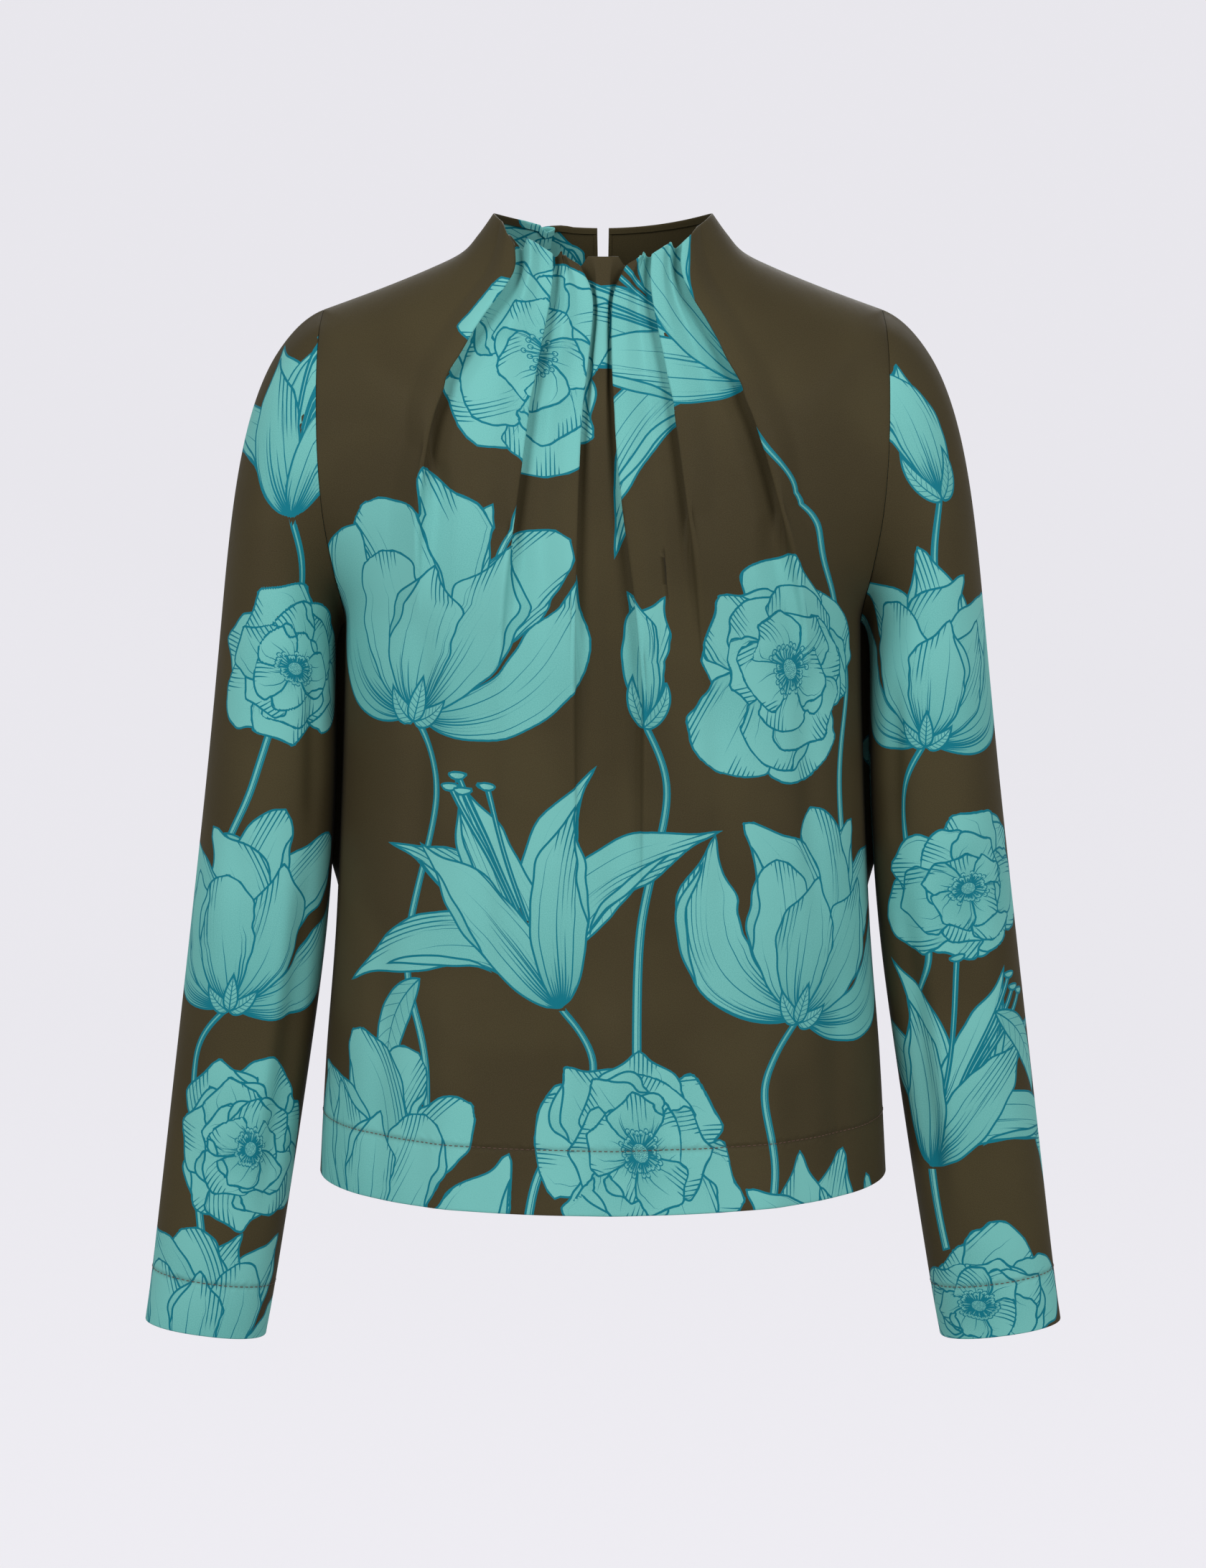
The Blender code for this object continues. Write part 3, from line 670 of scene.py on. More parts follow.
def printCloth(mesh, faces, flat, shapes):
    # Lays the shapes on the cloth from the lowest to the highest. Each face keeps the top few
    # that touch it, as two vectors at each corner.
    flat = flat.reshape(-1, 2)
    count = len(faces)
    first, second = np.zeros((2, printCut["layers"], count, 4, 3), np.float32)
    first[..., 2] = -0.01
    second[..., 0] = 1
    centre, span = flat[faces].mean(1), np.ptp(flat[faces], axis=1).max(1)
    for shape in shapes:
        reach = max(shape["left"].max(), shape["right"].max()) + printCut["reach"]
        low, high = shape["path"].min(0) - reach, shape["path"].max(0) + reach
        near = np.flatnonzero(((centre > low) & (centre < high)).all(1))
        if not len(near):
            continue
        used, index = np.unique(faces[near].ravel(), return_inverse=True)
        u, aside, half, lean = (v[index].reshape(-1, 4) for v in measure(shape, flat[used]))
        inside = np.minimum((half - np.abs(aside)) * lean,
                            np.minimum(u, 1 - u) * shape["length"])
        slack = 0.12 if half.max() > 0.004 else 0.45
        touched = (inside > -printCut["slack"] - slack * span[near, None]).any(1)
        near, u, aside, half, lean = near[touched], u[touched], aside[touched], half[touched], lean[touched]
        first[1:, near] = first[:-1, near].copy()
        second[1:, near] = second[:-1, near].copy()
        first[0, near] = np.stack([u, aside, half], 2)
        tag = shape["kind"] + 0.9 * shape["seed"] + 0.05
        second[0, near] = np.stack([lean, np.full_like(u, tag), np.full_like(u, shape["length"])], 2)
    for layer in range(printCut["layers"]):
        for name, values in (("Shape", first), ("Kind", second)):
            attribute = mesh.attributes.new(f"print{name}{layer}", "FLOAT_VECTOR", "CORNER")
            attribute.data.foreach_set("vector", values[layer].ravel())


class Value:
    # A shader socket that takes part in Python expressions.
    def __init__(self, tree, socket):
        self.tree, self.socket = tree, socket

    def maths(self, operation, *others):
        return self.tree.maths(operation, self, *others)

    def __add__(self, other): return self.maths("ADD", other)
    def __sub__(self, other): return self.maths("SUBTRACT", other)
    def __mul__(self, other): return self.maths("MULTIPLY", other)
    def __truediv__(self, other): return self.maths("DIVIDE", other)
    def __rsub__(self, other): return self.tree.maths("SUBTRACT", other, self)
    __radd__, __rmul__ = __add__, __mul__

    def low(self, other): return self.maths("MINIMUM", other)
    def high(self, other): return self.maths("MAXIMUM", other)
    def size(self): return self.maths("ABSOLUTE")
    def floor(self): return self.maths("FLOOR")
    def part(self): return self.maths("FRACT")
    def wave(self): return self.maths("SINE")
    def power(self, other): return self.maths("POWER", other)
    def above(self, other): return self.maths("GREATER_THAN", other)
    def near(self, other): return (self - other).size().maths("LESS_THAN", 0.5)

    def ramp(self, start, end):
        # 0 up to start, 1 from end on, smooth between.
        return self.tree.node("ShaderNodeMapRange", dict(interpolation_type="SMOOTHSTEP"),
                              {"Value": self, "From Min": start, "From Max": end}, "Result")

    def split(self):
        node = self.tree.node("ShaderNodeSeparateXYZ", {}, {"Vector": self}, None)
        return [Value(self.tree, s) for s in node.outputs]


class Material:
    def __init__(self, name):
        self.material = bpy.data.materials.new(name)
        self.material.use_nodes = True
        self.nodes, self.links = self.material.node_tree.nodes, self.material.node_tree.links
        self.surface = self.nodes["Principled BSDF"]

    def node(self, kind, settings, inputs, output=0):
        # One node: its settings first, then the values or links of its sockets.
        node = self.nodes.new(kind)
        for name, value in settings.items():
            setattr(node, name, value)
        for key, value in inputs.items():
            self.put(node.inputs[key], value)
        if output is None:
            return node
        return Value(self, node.outputs[output])

    def put(self, socket, value):
        if isinstance(value, Value):
            self.links.new(value.socket, socket)
        else:
            socket.default_value = (*value, 1) if isinstance(value, tuple) and len(value) == 3 \
                and socket.type == "RGBA" else value

    def maths(self, operation, *values):
        return self.node("ShaderNodeMath", dict(operation=operation), dict(enumerate(values)))

    def read(self, name):
        return self.node("ShaderNodeAttribute", dict(attribute_name=name), {}, "Vector")

    def value(self, name):
        return self.node("ShaderNodeAttribute", dict(attribute_name=name), {}, "Fac")

    def join(self, x, y, z):
        return self.node("ShaderNodeCombineXYZ", {}, {"X": x, "Y": y, "Z": z})

    def mix(self, share, first, second):
        return self.node("ShaderNodeMix", dict(data_type="RGBA"),
                         {"Factor": share, 6: first, 7: second}, 2)

    def choose(self, share, first, second):
        return self.node("ShaderNodeMix", dict(data_type="VECTOR"),
                         {"Factor": share, 4: first, 5: second}, 1)

    def noise(self, vector, scale, detail, dimensions="3D"):
        return self.node("ShaderNodeTexNoise", dict(noise_dimensions=dimensions),
                         {"Vector": vector, "Scale": scale, "Detail": detail}, "Fac")

    def chance(self, value):
        # A random number for each whole value.
        return self.node("ShaderNodeTexWhiteNoise", dict(noise_dimensions="1D"), {"W": value}, "Value")

    def set(self, **sockets):
        for name, value in sockets.items():
            self.put(self.surface.inputs[name.replace("_", " ")], value)
        return self.material


def linear(*colour):
    # From the 0-255 values of a screen to the light that they stand for.
    c = np.array(colour) / 255
    return tuple(float(v) for v in np.where(c <= 0.04045, c / 12.92, ((c + 0.055) / 1.055)**2.4))


printLook = dict(
    ground=linear(56, 48, 29), groundWorn=linear(68, 60, 38),
    petal=linear(94, 165, 161), petalLight=linear(111, 181, 176), petalDeep=linear(76, 148, 148),
    line=linear(6, 110, 126),
    outline=0.00068,          # half the width of the drawn outline
    hatch=0.00066,            # half the width of a hatching line at its foot
    stroke=0.0029,            # between the strokes that run in from a petal's rim
    seedFlat=0.72,            # how far a flower's middle is flattened
    weave=2600,               # threads in a metre
    roughness=0.62,
    rib=0.00055, vein=0.00028, veins=9, strand=0.0003,
    threads=26, threadHalf=0.00036, head=0.00165,        # round a flower's middle
)
clothRelief = dict(          # heights of the bump, in metres
    weave=0.000012, slub=0.00004, drape=0.0004, groove=0.0004, pucker=0.0005,
    grooveWide=0.0018, puckerWide=0.005,
)


def hatching(m, u, aside, half, inside, seed):
    # A few long contour lines, bundles that fan out from the petal's foot, denser on one side,
    # and strokes that run in from its rim, all thinning towards their ends.
    look = printLook
    share = aside / half.high(0.0006)
    wobble = (u * 5.5 + seed * 31).wave() * 0.08
    bundle = (share * 4.3 + seed * 41).wave() * 0.42 + 0.58
    lines = None
    rows = ((1.7, 0.45, 0.50, 0.90, False), (7.0, 0.14, 0.52, 1.2, True))
    for count, reach, spread, thick, grouped in rows:
        t = (share + wobble) * count + seed * 13
        end = m.chance(t.floor() + seed * 97 + count) * spread + reach
        if grouped:
            end = end * bundle
        gap = (t.part() - 0.5).size() * half / count
        line = ((1 - u / end).high(0).power(0.5) * look["hatch"] * thick - gap).ramp(0, 0.00020)
        lines = line if lines is None else lines.high(line)
    t = aside / look["stroke"] + wobble * 4 + seed * 17
    gathered = ((aside * 150 + seed * 29).wave() - 0.1).high(0)
    end = (m.chance(t.floor() + seed * 53) * 0.75 + 0.25) * gathered * 0.034 + 0.0001
    gap = (t.part() - 0.5).size() * look["stroke"]
    line = ((1 - inside / end).high(0).power(0.5) * look["hatch"] - gap).ramp(0, 0.00020)
    return lines.high(line * u.ramp(0.40, 0.55))


def insideOf(u, aside, half, lean, length):
    # How far a place is from the nearest edge of a shape.
    return ((half - aside.size()) * lean).low(u.low(1 - u) * length)


def flowerMiddle(m, u, aside, length, seed):
    # A disc of seeds with a ring of threads round it, each ending in a small round head.
    look = printLook
    radius = length * 0.5
    x = u * 2 - 1
    y = aside / radius * look["seedFlat"]
    far = (x * x + y * y).power(0.5)
    turn = y.maths("ARCTAN2", x) / (2 * np.pi) + 0.5
    t = turn * look["threads"]
    pick = m.chance(t.floor() + seed * 71)
    end = pick * 0.34 + 0.52
    off = (t.part() - 0.5).size() / look["threads"] * 2 * np.pi * far * radius
    thread = (look["threadHalf"] - off).ramp(-0.0001, 0.0001)
    thread = thread * far.ramp(0.30, 0.32) * (end - far).ramp(0, 0.02)
    away = (far - end) * radius
    head = look["head"] - (away * away + off * off).power(0.5)
    disc = (0.34 - far) * radius
    dots = m.node("ShaderNodeTexVoronoi", dict(voronoi_dimensions="2D"),
                  {"Vector": m.join(x, y, 0.0), "Scale": 10.0, "Randomness": 0.6}, "Distance")
    dotRim = (dots - 0.36).size().ramp(0.12, 0.04)
    solid = head.high(disc).ramp(-0.0001, 0.0001)
    rim = head.high(disc).ramp(0.0008, 0.0005)
    return solid.high(thread), rim.high(thread).high(dotRim * disc.ramp(0, 0.0004))


def printedCrepe():
    # The top shape that covers a place is chosen layer by layer, then drawn once: its rim, ribs,
    # strands and hatching over a fill, on a mottled ground. The weave and the stitching are bump,
    # and the stitching's groove is also darkened in the colour as painted shade.
    m = Material("printedCrepe")
    look = printLook
    place = m.node("ShaderNodeUVMap", dict(uv_map="cloth"), {})
    cloud, grain, slub = (m.noise(place, scale, detail, "2D")
                          for scale, detail in ((9.0, 2), (1500.0, 1), (180.0, 1)))
    layers = []
    for layer in range(printCut["layers"]):
        shape, kind = m.read(f"printShape{layer}"), m.read(f"printKind{layer}")
        (u, aside, half), (lean, tag, length) = shape.split(), kind.split()
        covers = insideOf(u, aside, half, lean, length).above(0)
        layers.append((shape, kind, covers, tag.floor().near(seedKind)))
    # A flower's middle lies in one of the two top layers. The petals show between its threads.
    (shape0, kind0, _, isSeed0), (shape1, kind1, _, _) = layers[:2]
    u, aside, _ = m.choose(isSeed0, shape1, shape0).split()
    _, tag, length = m.choose(isSeed0, kind1, kind0).split()
    middleFill, middleLines = flowerMiddle(m, u, aside, length, tag.part())
    middleFill = middleFill.above(0.5)
    shape, kind = m.join(0.0, 0.0, -0.01), m.join(1.0, 0.0, 0.0)
    for i, (upper, upperKind, covers, isSeed) in reversed(list(enumerate(layers))):
        covers = covers * (1 - isSeed * (1 - middleFill)) if i < 2 else covers * (1 - isSeed)
        shape, kind = m.choose(covers, shape, upper), m.choose(covers, kind, upperKind)
    (u, aside, half), (lean, tag, length) = shape.split(), kind.split()
    seed, inside = tag.part(), insideOf(u, aside, half, lean, length)
    isPetal, isStem, isLeaf, isSeed = (tag.floor().near(kind)
                                       for kind in (petalKind, stemKind, leafKind, seedKind))
    rim = inside.ramp(look["outline"] * 2 + 0.0002, look["outline"] * 2 - 0.0002)
    rib = (look["rib"] - aside.size() - u * 0.0003).ramp(-0.0001, 0.00015) * isLeaf
    vein = ((u * look["veins"] - aside.size() / half.high(0.001) * 1.3).part() - 0.5).size()
    vein = (vein * length / look["veins"] - look["vein"]).ramp(0.0002, -0.0001)
    vein = vein * isLeaf * u.ramp(0.95, 0.6) * 0.85
    strand = ((aside - half * 0.25).size() - look["strand"]).ramp(0.0001, -0.0001) * isStem
    drawn = hatching(m, u, aside, half, inside, seed) * isPetal
    lines = rim.high(rib).high(vein).high(strand).high(drawn)
    lines = lines * (1 - isSeed) + middleLines * isSeed
    shade = (u * 0.75 + seed * 0.35) * (cloud * 0.8 + 0.6) + (grain - 0.5) * 0.9
    light = m.mix(shade.ramp(0.05, 0.95), look["petal"], look["petalLight"])
    light = m.mix(u.ramp(0.30, 0.0) * isPetal * 0.6, light, look["petalDeep"])
    worn = cloud.ramp(0.35, 0.7) * 0.5 + grain.ramp(0.25, 0.75) * 0.5
    colour = m.mix(worn, look["ground"], look["groundWorn"])
    colour = m.mix(tag.above(0.5), colour, m.mix(lines, light, look["line"]))
    x, y, _ = place.split()
    thread = (x * look["weave"] * np.pi).wave() * (y * look["weave"] * np.pi).wave()
    stitchAway = m.value("stitchAway")
    relief = clothRelief
    groove, near = (((stitchAway.size() / relief[name]).power(2) * -1).maths("EXPONENT")
                    for name in ("grooveWide", "puckerWide"))
    pucker = (m.noise(place, 260.0, 0, "2D") - 0.5) * near
    drape = m.noise(place, 38.0, 1, "2D")
    height = (thread * relief["weave"] + slub * relief["slub"] + drape * relief["drape"]
              - groove * relief["groove"] + pucker * relief["pucker"])
    bump = m.node("ShaderNodeBump", {}, {"Height": height, "Strength": 1.0, "Distance": 1.0}, "Normal")
    rough = cloud * 0.10 + look["roughness"] + slub * 0.06
    # Painted shade: the colour darkens along the stitching's groove, a quarter of the way to half the
    # ground colour.
    colour = m.mix(groove * 0.25, colour, tuple(0.5 * c for c in look["ground"]))
    return m.set(Base_Color=colour, Roughness=rough, Normal=bump, Sheen_Weight=0.02, Sheen_Roughness=0.45,
                 Specular_IOR_Level=0.14)


def sewingThread():
    m = Material("sewingThread")
    place = m.node("ShaderNodeTexCoord", {}, {}, "Object")
    ply = m.noise(place, 900.0, 2)
    return m.set(Base_Color=m.mix(ply, linear(70, 48, 38), linear(98, 70, 56)), Roughness=ply * 0.2 + 0.5)


crepe, thread = printedCrepe(), sewingThread()
levels = bodyLevels()
print("blouse: the cloth's material is made")

stitchRow = dict(
    length=0.0026, gap=0.0009, radius=0.00026,
    hemUp=0.040, cuffUp=0.035,
    rowHeight=0.0023,        # between two rows of a piece, near its end
    rings=7, sides=6,
)


def addItem(name, data):
    item = bpy.data.objects.new(name, data)
    bpy.context.scene.collection.objects.link(item)
    return item


def rowAt(grid, away, up):
    # The place on each column that lies up above the grid's last row, along the cloth.
    row = (away < up).sum(0) - 1
    column = np.arange(grid.shape[1])
    here, there = away[row, column], away[row + 1, column]
    share = ((up - here) / (there - here))[:, None]
    return grid[::-1][row, column] * (1 - share) + grid[::-1][row + 1, column] * share


def stitches(name, line, outward):
    # A row of short threads along a line: each is a rounded tube that dips in at both ends.
    look = stitchRow
    along = wayAlong(line)
    pitch = look["length"] + look["gap"]
    starts = np.arange(int((along[-1] - look["gap"]) / pitch)) * pitch + look["gap"]
    rings, sides = look["rings"], look["sides"]
    t, a = np.linspace(0, 1, rings), np.linspace(0, 2 * np.pi, sides + 1)[:-1]
    at = starts[:, None] + t * look["length"]
    middle, out = readLine(at, along, line), readLine(at, along, outward)
    way = unit(np.gradient(middle, axis=1))
    aside = unit(np.cross(way, out))
    thick = look["radius"] * np.sqrt(np.maximum(1 - (2 * t - 1)**6, 0.02))[None, :, None, None]
    lift = (look["radius"] * (0.6 - 1.6 * np.abs(2 * t - 1)**4))[None, :, None]
    middle = middle + out * lift
    points = (middle[:, :, None] + thick * (np.cos(a)[:, None] * aside[:, :, None]
                                             + np.sin(a)[:, None] * out[:, :, None]))
    index = np.arange(len(starts) * rings * sides).reshape(len(starts), rings, sides)
    right = np.roll(index, -1, 2)
    walls = np.stack([index[:, :-1], right[:, :-1], right[:, 1:], index[:, 1:]], -1).reshape(-1, 4)
    caps = [*index[:, 0, ::-1].tolist(), *index[:, -1].tolist()]
    mesh = bpy.data.meshes.new(name)
    mesh.from_pydata(points.reshape(-1, 3).tolist(), [], walls.tolist() + caps)
    mesh.shade_smooth()
    mesh.materials.append(thread)
    piece = addItem(name, mesh)
    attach(piece, "root")
    return piece


def makeCloth(node, grid, flat, outward, turns, cut, up):
    # A cut piece from its grid: stitches in a row up from its end, turned edges, and its print.
    away = wayAlong(grid[::-1])
    line = rowAt(grid, away, up)
    normal = gridNormals(grid, outward)
    sewn = stitches(node + "Stitches", line, normal[len(grid) - int(up / stitchRow["rowHeight"])])
    rows, columns = grid.shape[:2]
    grid, flat = turnEdges(grid, flat, outward, turns)
    mesh, faces = clothMesh(node + "Cloth", grid, flat, outward)
    stitchAway = np.full(grid.shape[:2], 0.1)
    top, left = (turns[name][1] + turned["rollSteps"] for name in ("top", "left"))
    stitchAway[top:top + rows, left:left + columns] = away[::-1] - up
    attribute = mesh.attributes.new("stitchAway", "FLOAT", "POINT")
    attribute.data.foreach_set("value", stitchAway.astype(np.float32).ravel())
    shapes = [stem(np.reshape(row[:-1], (-1, 2)), row[-1], i * 0.37)
              for i, row in enumerate(cut["stems"])]
    for kind, x, y, size, heading, seed in cut["motifs"]:
        shapes += motifMakers[kind](x, y, size, np.radians(heading), np.random.default_rng(seed))
    printCloth(mesh, faces, flat, shapes)
    mesh.materials.append(crepe)
    piece = addItem(node + "Cloth", mesh)
    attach(piece, "root")
    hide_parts(node)
    print("blouse:", node, len(faces), "faces,", len(shapes), "shapes")


# Motifs: kind, place across and up in the flat cloth, size, heading in degrees and seed.
# Stems: pairs of places along each, then its width.
frontPiece = dict(
    creases=(                # from and to (across, height), bend, width, rise
        (-0.118, -0.20, -0.130, -0.42, 0.006, 0.011, -0.0034),
        (-0.066, -0.25, -0.074, -0.50, -0.004, 0.010, -0.0028),
        (-0.020, -0.30, -0.030, -0.60, 0.004, 0.010, -0.0034),
        (0.003, -0.10, 0.012, -0.50, 0.000, 0.013, -0.0050),
        (0.028, -0.36, 0.044, -0.60, -0.003, 0.011, -0.0034),
        (0.066, -0.24, 0.078, -0.46, 0.004, 0.010, -0.0028),
        (0.135, -0.23, 0.150, -0.44, -0.004, 0.011, -0.0034),
        (0.000, -0.44, 0.006, -0.64, 0.003, 0.013, 0.0034),
        (-0.100, -0.44, -0.104, -0.64, 0.003, 0.014, 0.0034),
        (0.100, -0.46, 0.108, -0.64, 0.003, 0.014, 0.0034),
        (-0.150, -0.40, -0.156, -0.62, 0.003, 0.012, -0.0026),
        (0.160, -0.42, 0.164, -0.62, -0.003, 0.012, -0.0026),
    ),
    motifs=(
        ("leaf", 0.030, -0.370, 0.080, 232, 3),
        ("leaf", -0.122, -0.455, 0.080, 250, 5),
        ("lily", 0.138, -0.082, 0.175, 152, 11),
        ("blossom", -0.068, -0.064, 0.168, 60, 12),
        ("side", -0.132, -0.290, 0.150, 80, 16),
        ("blossom", 0.128, -0.262, 0.145, -25, 17),
        ("bud", 0.026, -0.290, 0.085, 84, 15),
        ("lily", -0.030, -0.470, 0.150, 112, 19),
        ("side", 0.125, -0.480, 0.135, 70, 14),
        ("blossom", 0.020, -0.560, 0.140, 30, 13),
        ("side", -0.165, -0.625, 0.130, 80, 20),
        ("side", 0.140, -0.680, 0.120, 104, 18),
    ),
    stems=(
        (0.026, -0.290, 0.040, -0.335, 0.020, -0.420, 0.018, -0.520, 0.0056),
        (-0.132, -0.290, -0.112, -0.340, -0.132, -0.440, -0.118, -0.520, -0.122, -0.660, 0.0056),
        (-0.030, -0.470, -0.010, -0.510, -0.046, -0.580, -0.054, -0.660, 0.0056),
        (0.138, -0.082, 0.172, -0.150, 0.180, -0.260, 0.166, -0.340, 0.172, -0.430, 0.0054),
        (0.125, -0.480, 0.100, -0.520, 0.106, -0.580, 0.092, -0.660, 0.0056),
        (-0.068, -0.064, -0.085, -0.180, -0.080, -0.240, 0.0052),
    ),
    flat=(0.46, 0.63), area=0.285,
)
backPieces = dict(
    left=dict(
        pleats=pleatCut["backLeft"], flat=(0.24, 0.63), area=0.131,
        creases=(
            (-0.05, -0.20, -0.055, -0.50, 0.004, 0.012, -0.0026),
            (-0.11, -0.30, -0.115, -0.58, -0.004, 0.013, -0.0026),
        ),
        motifs=(
            ("leaf", -0.100, -0.300, 0.080, -40, 8), ("blossom", -0.048, -0.045, 0.120, 40, 21),
            ("side", -0.120, -0.215, 0.135, 84, 24), ("lily", -0.048, -0.330, 0.150, 66, 26),
            ("blossom", -0.120, -0.410, 0.140, 140, 25), ("side", -0.060, -0.580, 0.135, 96, 22),
            ("bud", -0.165, -0.600, 0.080, 95, 27),
        ),
        stems=(
            (-0.120, -0.215, -0.105, -0.27, -0.13, -0.40, 0.005),
            (-0.048, -0.33, -0.03, -0.40, -0.05, -0.53, 0.005),
            (-0.060, -0.58, -0.052, -0.61, -0.06, -0.65, 0.005),
        ),
    ),
    right=dict(
        pleats=(), flat=(0.24, 0.63), area=0.131,
        creases=(
            (0.06, -0.24, 0.066, -0.52, -0.004, 0.012, -0.0026),
            (0.12, -0.30, 0.124, -0.58, 0.004, 0.013, -0.0026),
        ),
        motifs=(
            ("side", 0.110, -0.150, 0.135, 112, 28), ("blossom", 0.060, -0.235, 0.140, 140, 23),
            ("leaf", 0.130, -0.270, 0.080, 60, 7), ("lily", 0.130, -0.420, 0.150, 100, 30),
            ("blossom", 0.070, -0.520, 0.145, 10, 29), ("bud", 0.040, -0.385, 0.085, 110, 31),
        ),
        stems=(
            (0.11, -0.15, 0.125, -0.20, 0.115, -0.30, 0.005),
            (0.13, -0.42, 0.145, -0.50, 0.13, -0.65, 0.005),
            (0.04, -0.385, 0.05, -0.43, 0.045, -0.50, 0.005),
        ),
    ),
)
sleevePieces = dict(              # their creases run by degrees round the sleeve over 1000, and height
    left=dict(
        creases=(
            (0.126, -0.25, 0.132, -0.38, 0.002, 0.010, -0.0040),
            (0.060, -0.34, 0.092, -0.48, 0.003, 0.012, -0.0020),
            (0.110, -0.36, 0.110, -0.62, 0.002, 0.010, 0.0026),
            (0.132, -0.36, 0.130, -0.64, 0.002, 0.012, -0.0044),
            (-0.080, -0.34, -0.060, -0.46, 0.003, 0.013, -0.0024),
        ),
        flat=(0.36, 0.66), area=0.166,
        motifs=(
            ("lily", 0.080, -0.145, 0.135, 96, 32), ("blossom", 0.092, -0.240, 0.112, 60, 39),
            ("leaf", 0.050, -0.345, 0.070, -70, 9), ("side", 0.062, -0.455, 0.125, 86, 31),
            ("blossom", 0.080, -0.550, 0.112, 10, 36), ("side", 0.050, -0.700, 0.105, 84, 37),
            ("side", -0.080, -0.230, 0.140, 100, 38), ("blossom", -0.070, -0.400, 0.140, 60, 33),
            ("bud", -0.060, -0.560, 0.090, 90, 40),
        ),
        stems=(
            (0.080, -0.145, 0.094, -0.20, 0.070, -0.31, 0.052, -0.36, 0.062, -0.42, 0.005),
            (0.062, -0.455, 0.040, -0.49, 0.046, -0.57, 0.060, -0.66, 0.005),
            (-0.080, -0.23, -0.07, -0.29, -0.09, -0.36, 0.005),
        ),
    ),
    right=dict(
        creases=(
            (0.124, -0.26, 0.130, -0.39, 0.002, 0.010, -0.0040),
            (0.058, -0.36, 0.088, -0.50, 0.003, 0.012, -0.0020),
            (0.108, -0.38, 0.112, -0.63, -0.002, 0.010, 0.0026),
            (0.130, -0.37, 0.134, -0.65, -0.002, 0.012, -0.0044),
            (-0.080, -0.34, -0.060, -0.46, 0.003, 0.013, -0.0024),
        ),
        flat=(0.36, 0.66), area=0.166,
        motifs=(
            ("bud", 0.060, -0.130, 0.090, 80, 42), ("side", 0.085, -0.285, 0.120, 96, 35),
            ("blossom", 0.062, -0.380, 0.112, 80, 41), ("lily", 0.100, -0.565, 0.135, 110, 34),
            ("leaf", 0.050, -0.460, 0.070, 240, 10), ("blossom", 0.070, -0.655, 0.110, 70, 46),
            ("blossom", -0.060, -0.160, 0.140, 60, 43), ("side", -0.080, -0.400, 0.140, 100, 44),
            ("blossom", -0.050, -0.560, 0.140, 60, 45),
        ),
        stems=(
            (0.060, -0.13, 0.072, -0.18, 0.06, -0.25, 0.005),
            (0.085, -0.285, 0.104, -0.33, 0.09, -0.42, 0.11, -0.47, 0.100, -0.565, 0.09, -0.62, 0.005),
            (-0.080, -0.40, -0.07, -0.45, -0.06, -0.54, 0.005),
        ),
    ),
)
fold, edge, seam = turned["fold"], turned["edge"], turned["seam"]
sides = dict(left=(edge, seam), right=(edge, seam))
bodyTurns = dict(top=(fold, turned["neck"]), bottom=(fold, turned["hem"]), **sides)
grid = frontGrid(levels, frontPiece["creases"])
makeCloth("front", grid, flatPlaces(grid, grid.shape[1] // 2), (0, -1, 0), bodyTurns,
          frontPiece, stitchRow["hemUp"])
for name, side in (("left", -1), ("right", 1)):
    cut = backPieces[name]
    grid = backGrid(levels, side, cut["pleats"], cut["creases"])[:, ::side]
    flat = flatPlaces(grid, grid.shape[1] - 1 if side < 0 else 0)
    makeCloth("back_" + name, grid, flat, (0, 1, 0), bodyTurns, cut, stitchRow["hemUp"])
for name, side in (("left", -1), ("right", 1)):
    cut = sleevePieces[name]
    grid = sleeveGrid(levels, side, cut["creases"])
    flat = sleevePlaces(grid, grid.shape[1] // 2)
    makeCloth("sleeve_" + name, grid, flat, (side, 0, 0),
              dict(top=(edge, seam), bottom=(fold, turned["cuff"]), **sides), cut, stitchRow["cuffUp"])
print("blouse: the cloth is cut, printed and sewn")

studio = dict(
    floorZ=-2.10, wallTop=3.0, wallAway=4.4, radius=0.8,
    backdrop=linear(160, 158, 162), glow=0.60, glowColour=(0.985, 0.975, 1.03), air=0.43,
    lamps=(                  # name, place, size, power
        ("leftLight", (-1.9, -2.3, 1.1), 1.4, 56),
        ("rightLight", (1.9, -2.3, 1.1), 1.4, 51),
        ("backLight", (0.3, 3.0, 1.5), 2.0, 70),
    ),
    lampsAimAt=(0, 0, -0.3),
    cameraAt=(0.0, -3.0, 0.075), aimAt=(0.0, 0.0, -0.342), focal=6600 / 2184 * 36,
)


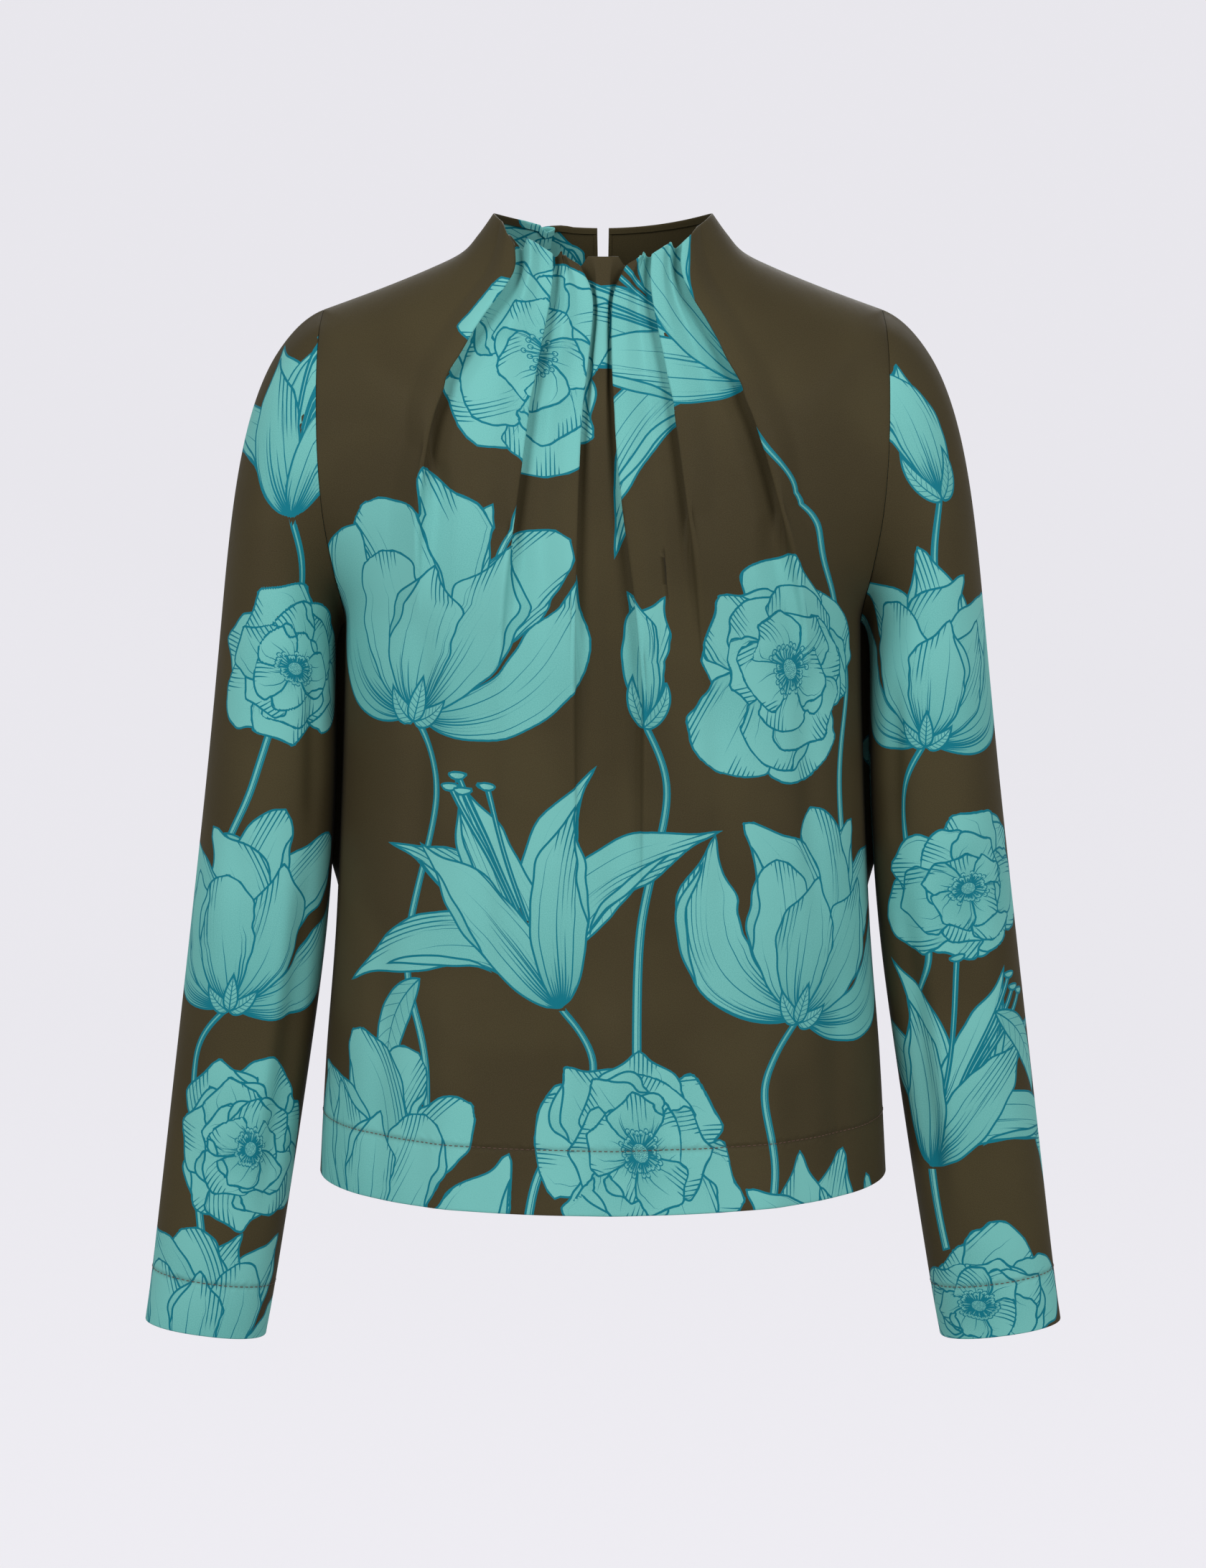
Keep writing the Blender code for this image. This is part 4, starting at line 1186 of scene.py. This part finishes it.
def backdrop():
    # A round floor that runs up into a round wall through a quarter circle.
    z0, away, r = studio["floorZ"], studio["wallAway"], studio["radius"]
    angle = np.linspace(0, np.pi / 2, 17)
    reach = np.concatenate([[0.01], away - r + r * np.sin(angle), [away]])[:, None]
    z = np.concatenate([[z0], z0 + r - r * np.cos(angle), [studio["wallTop"]]])[:, None]
    turn = np.linspace(0, 2 * np.pi, 97)
    grid = np.stack(np.broadcast_arrays(reach * np.sin(turn), reach * np.cos(turn), z), 2)
    mesh = clothMesh("floorSheet", grid, grid[:, :, :2], (0, 0, 1))[0]
    m = Material("paperFloor")
    place = m.node("ShaderNodeTexCoord", {}, {}, "Object")
    grain = m.noise(place, 60.0, 3)
    m.set(Base_Color=m.mix(grain, tuple(0.98 * c for c in studio["backdrop"]), studio["backdrop"]),
          Roughness=0.9, Emission_Color=studio["glowColour"], Emission_Strength=studio["glow"])
    mesh.materials.append(m.material)
    floor = addItem("floorSheet", mesh)
    floor.visible_diffuse = floor.visible_glossy = False     # it lights nothing, so all sides are lit alike


backdrop()


def aim(item, place, target):
    # The item stands at its place and faces the target.
    item.location = place
    item.rotation_euler = (Vector(target) - Vector(place)).to_track_quat("-Z", "Y").to_euler()


for name, place, size, power in studio["lamps"]:
    light = bpy.data.lights.new(name, "AREA")
    light.size, light.energy = size, power
    item = addItem(name, light)
    item.visible_camera = False
    aim(item, place, studio["lampsAimAt"])
world = bpy.data.worlds.new("studioAir")
world.use_nodes = True
world.node_tree.nodes["Background"].inputs["Color"].default_value = (1.0, 1.0, 1.0, 1)
world.node_tree.nodes["Background"].inputs["Strength"].default_value = studio["air"]
bpy.context.scene.world = world
bpy.context.scene.view_settings.view_transform = "Standard"
print("blouse: the studio and its lamps stand")

camera = bpy.data.cameras.new("camera")
camera.sensor_fit, camera.sensor_height, camera.lens = "VERTICAL", 36, studio["focal"]
cameraItem = addItem("camera", camera)
aim(cameraItem, studio["cameraAt"], studio["aimAt"])
bpy.context.scene.camera = cameraItem
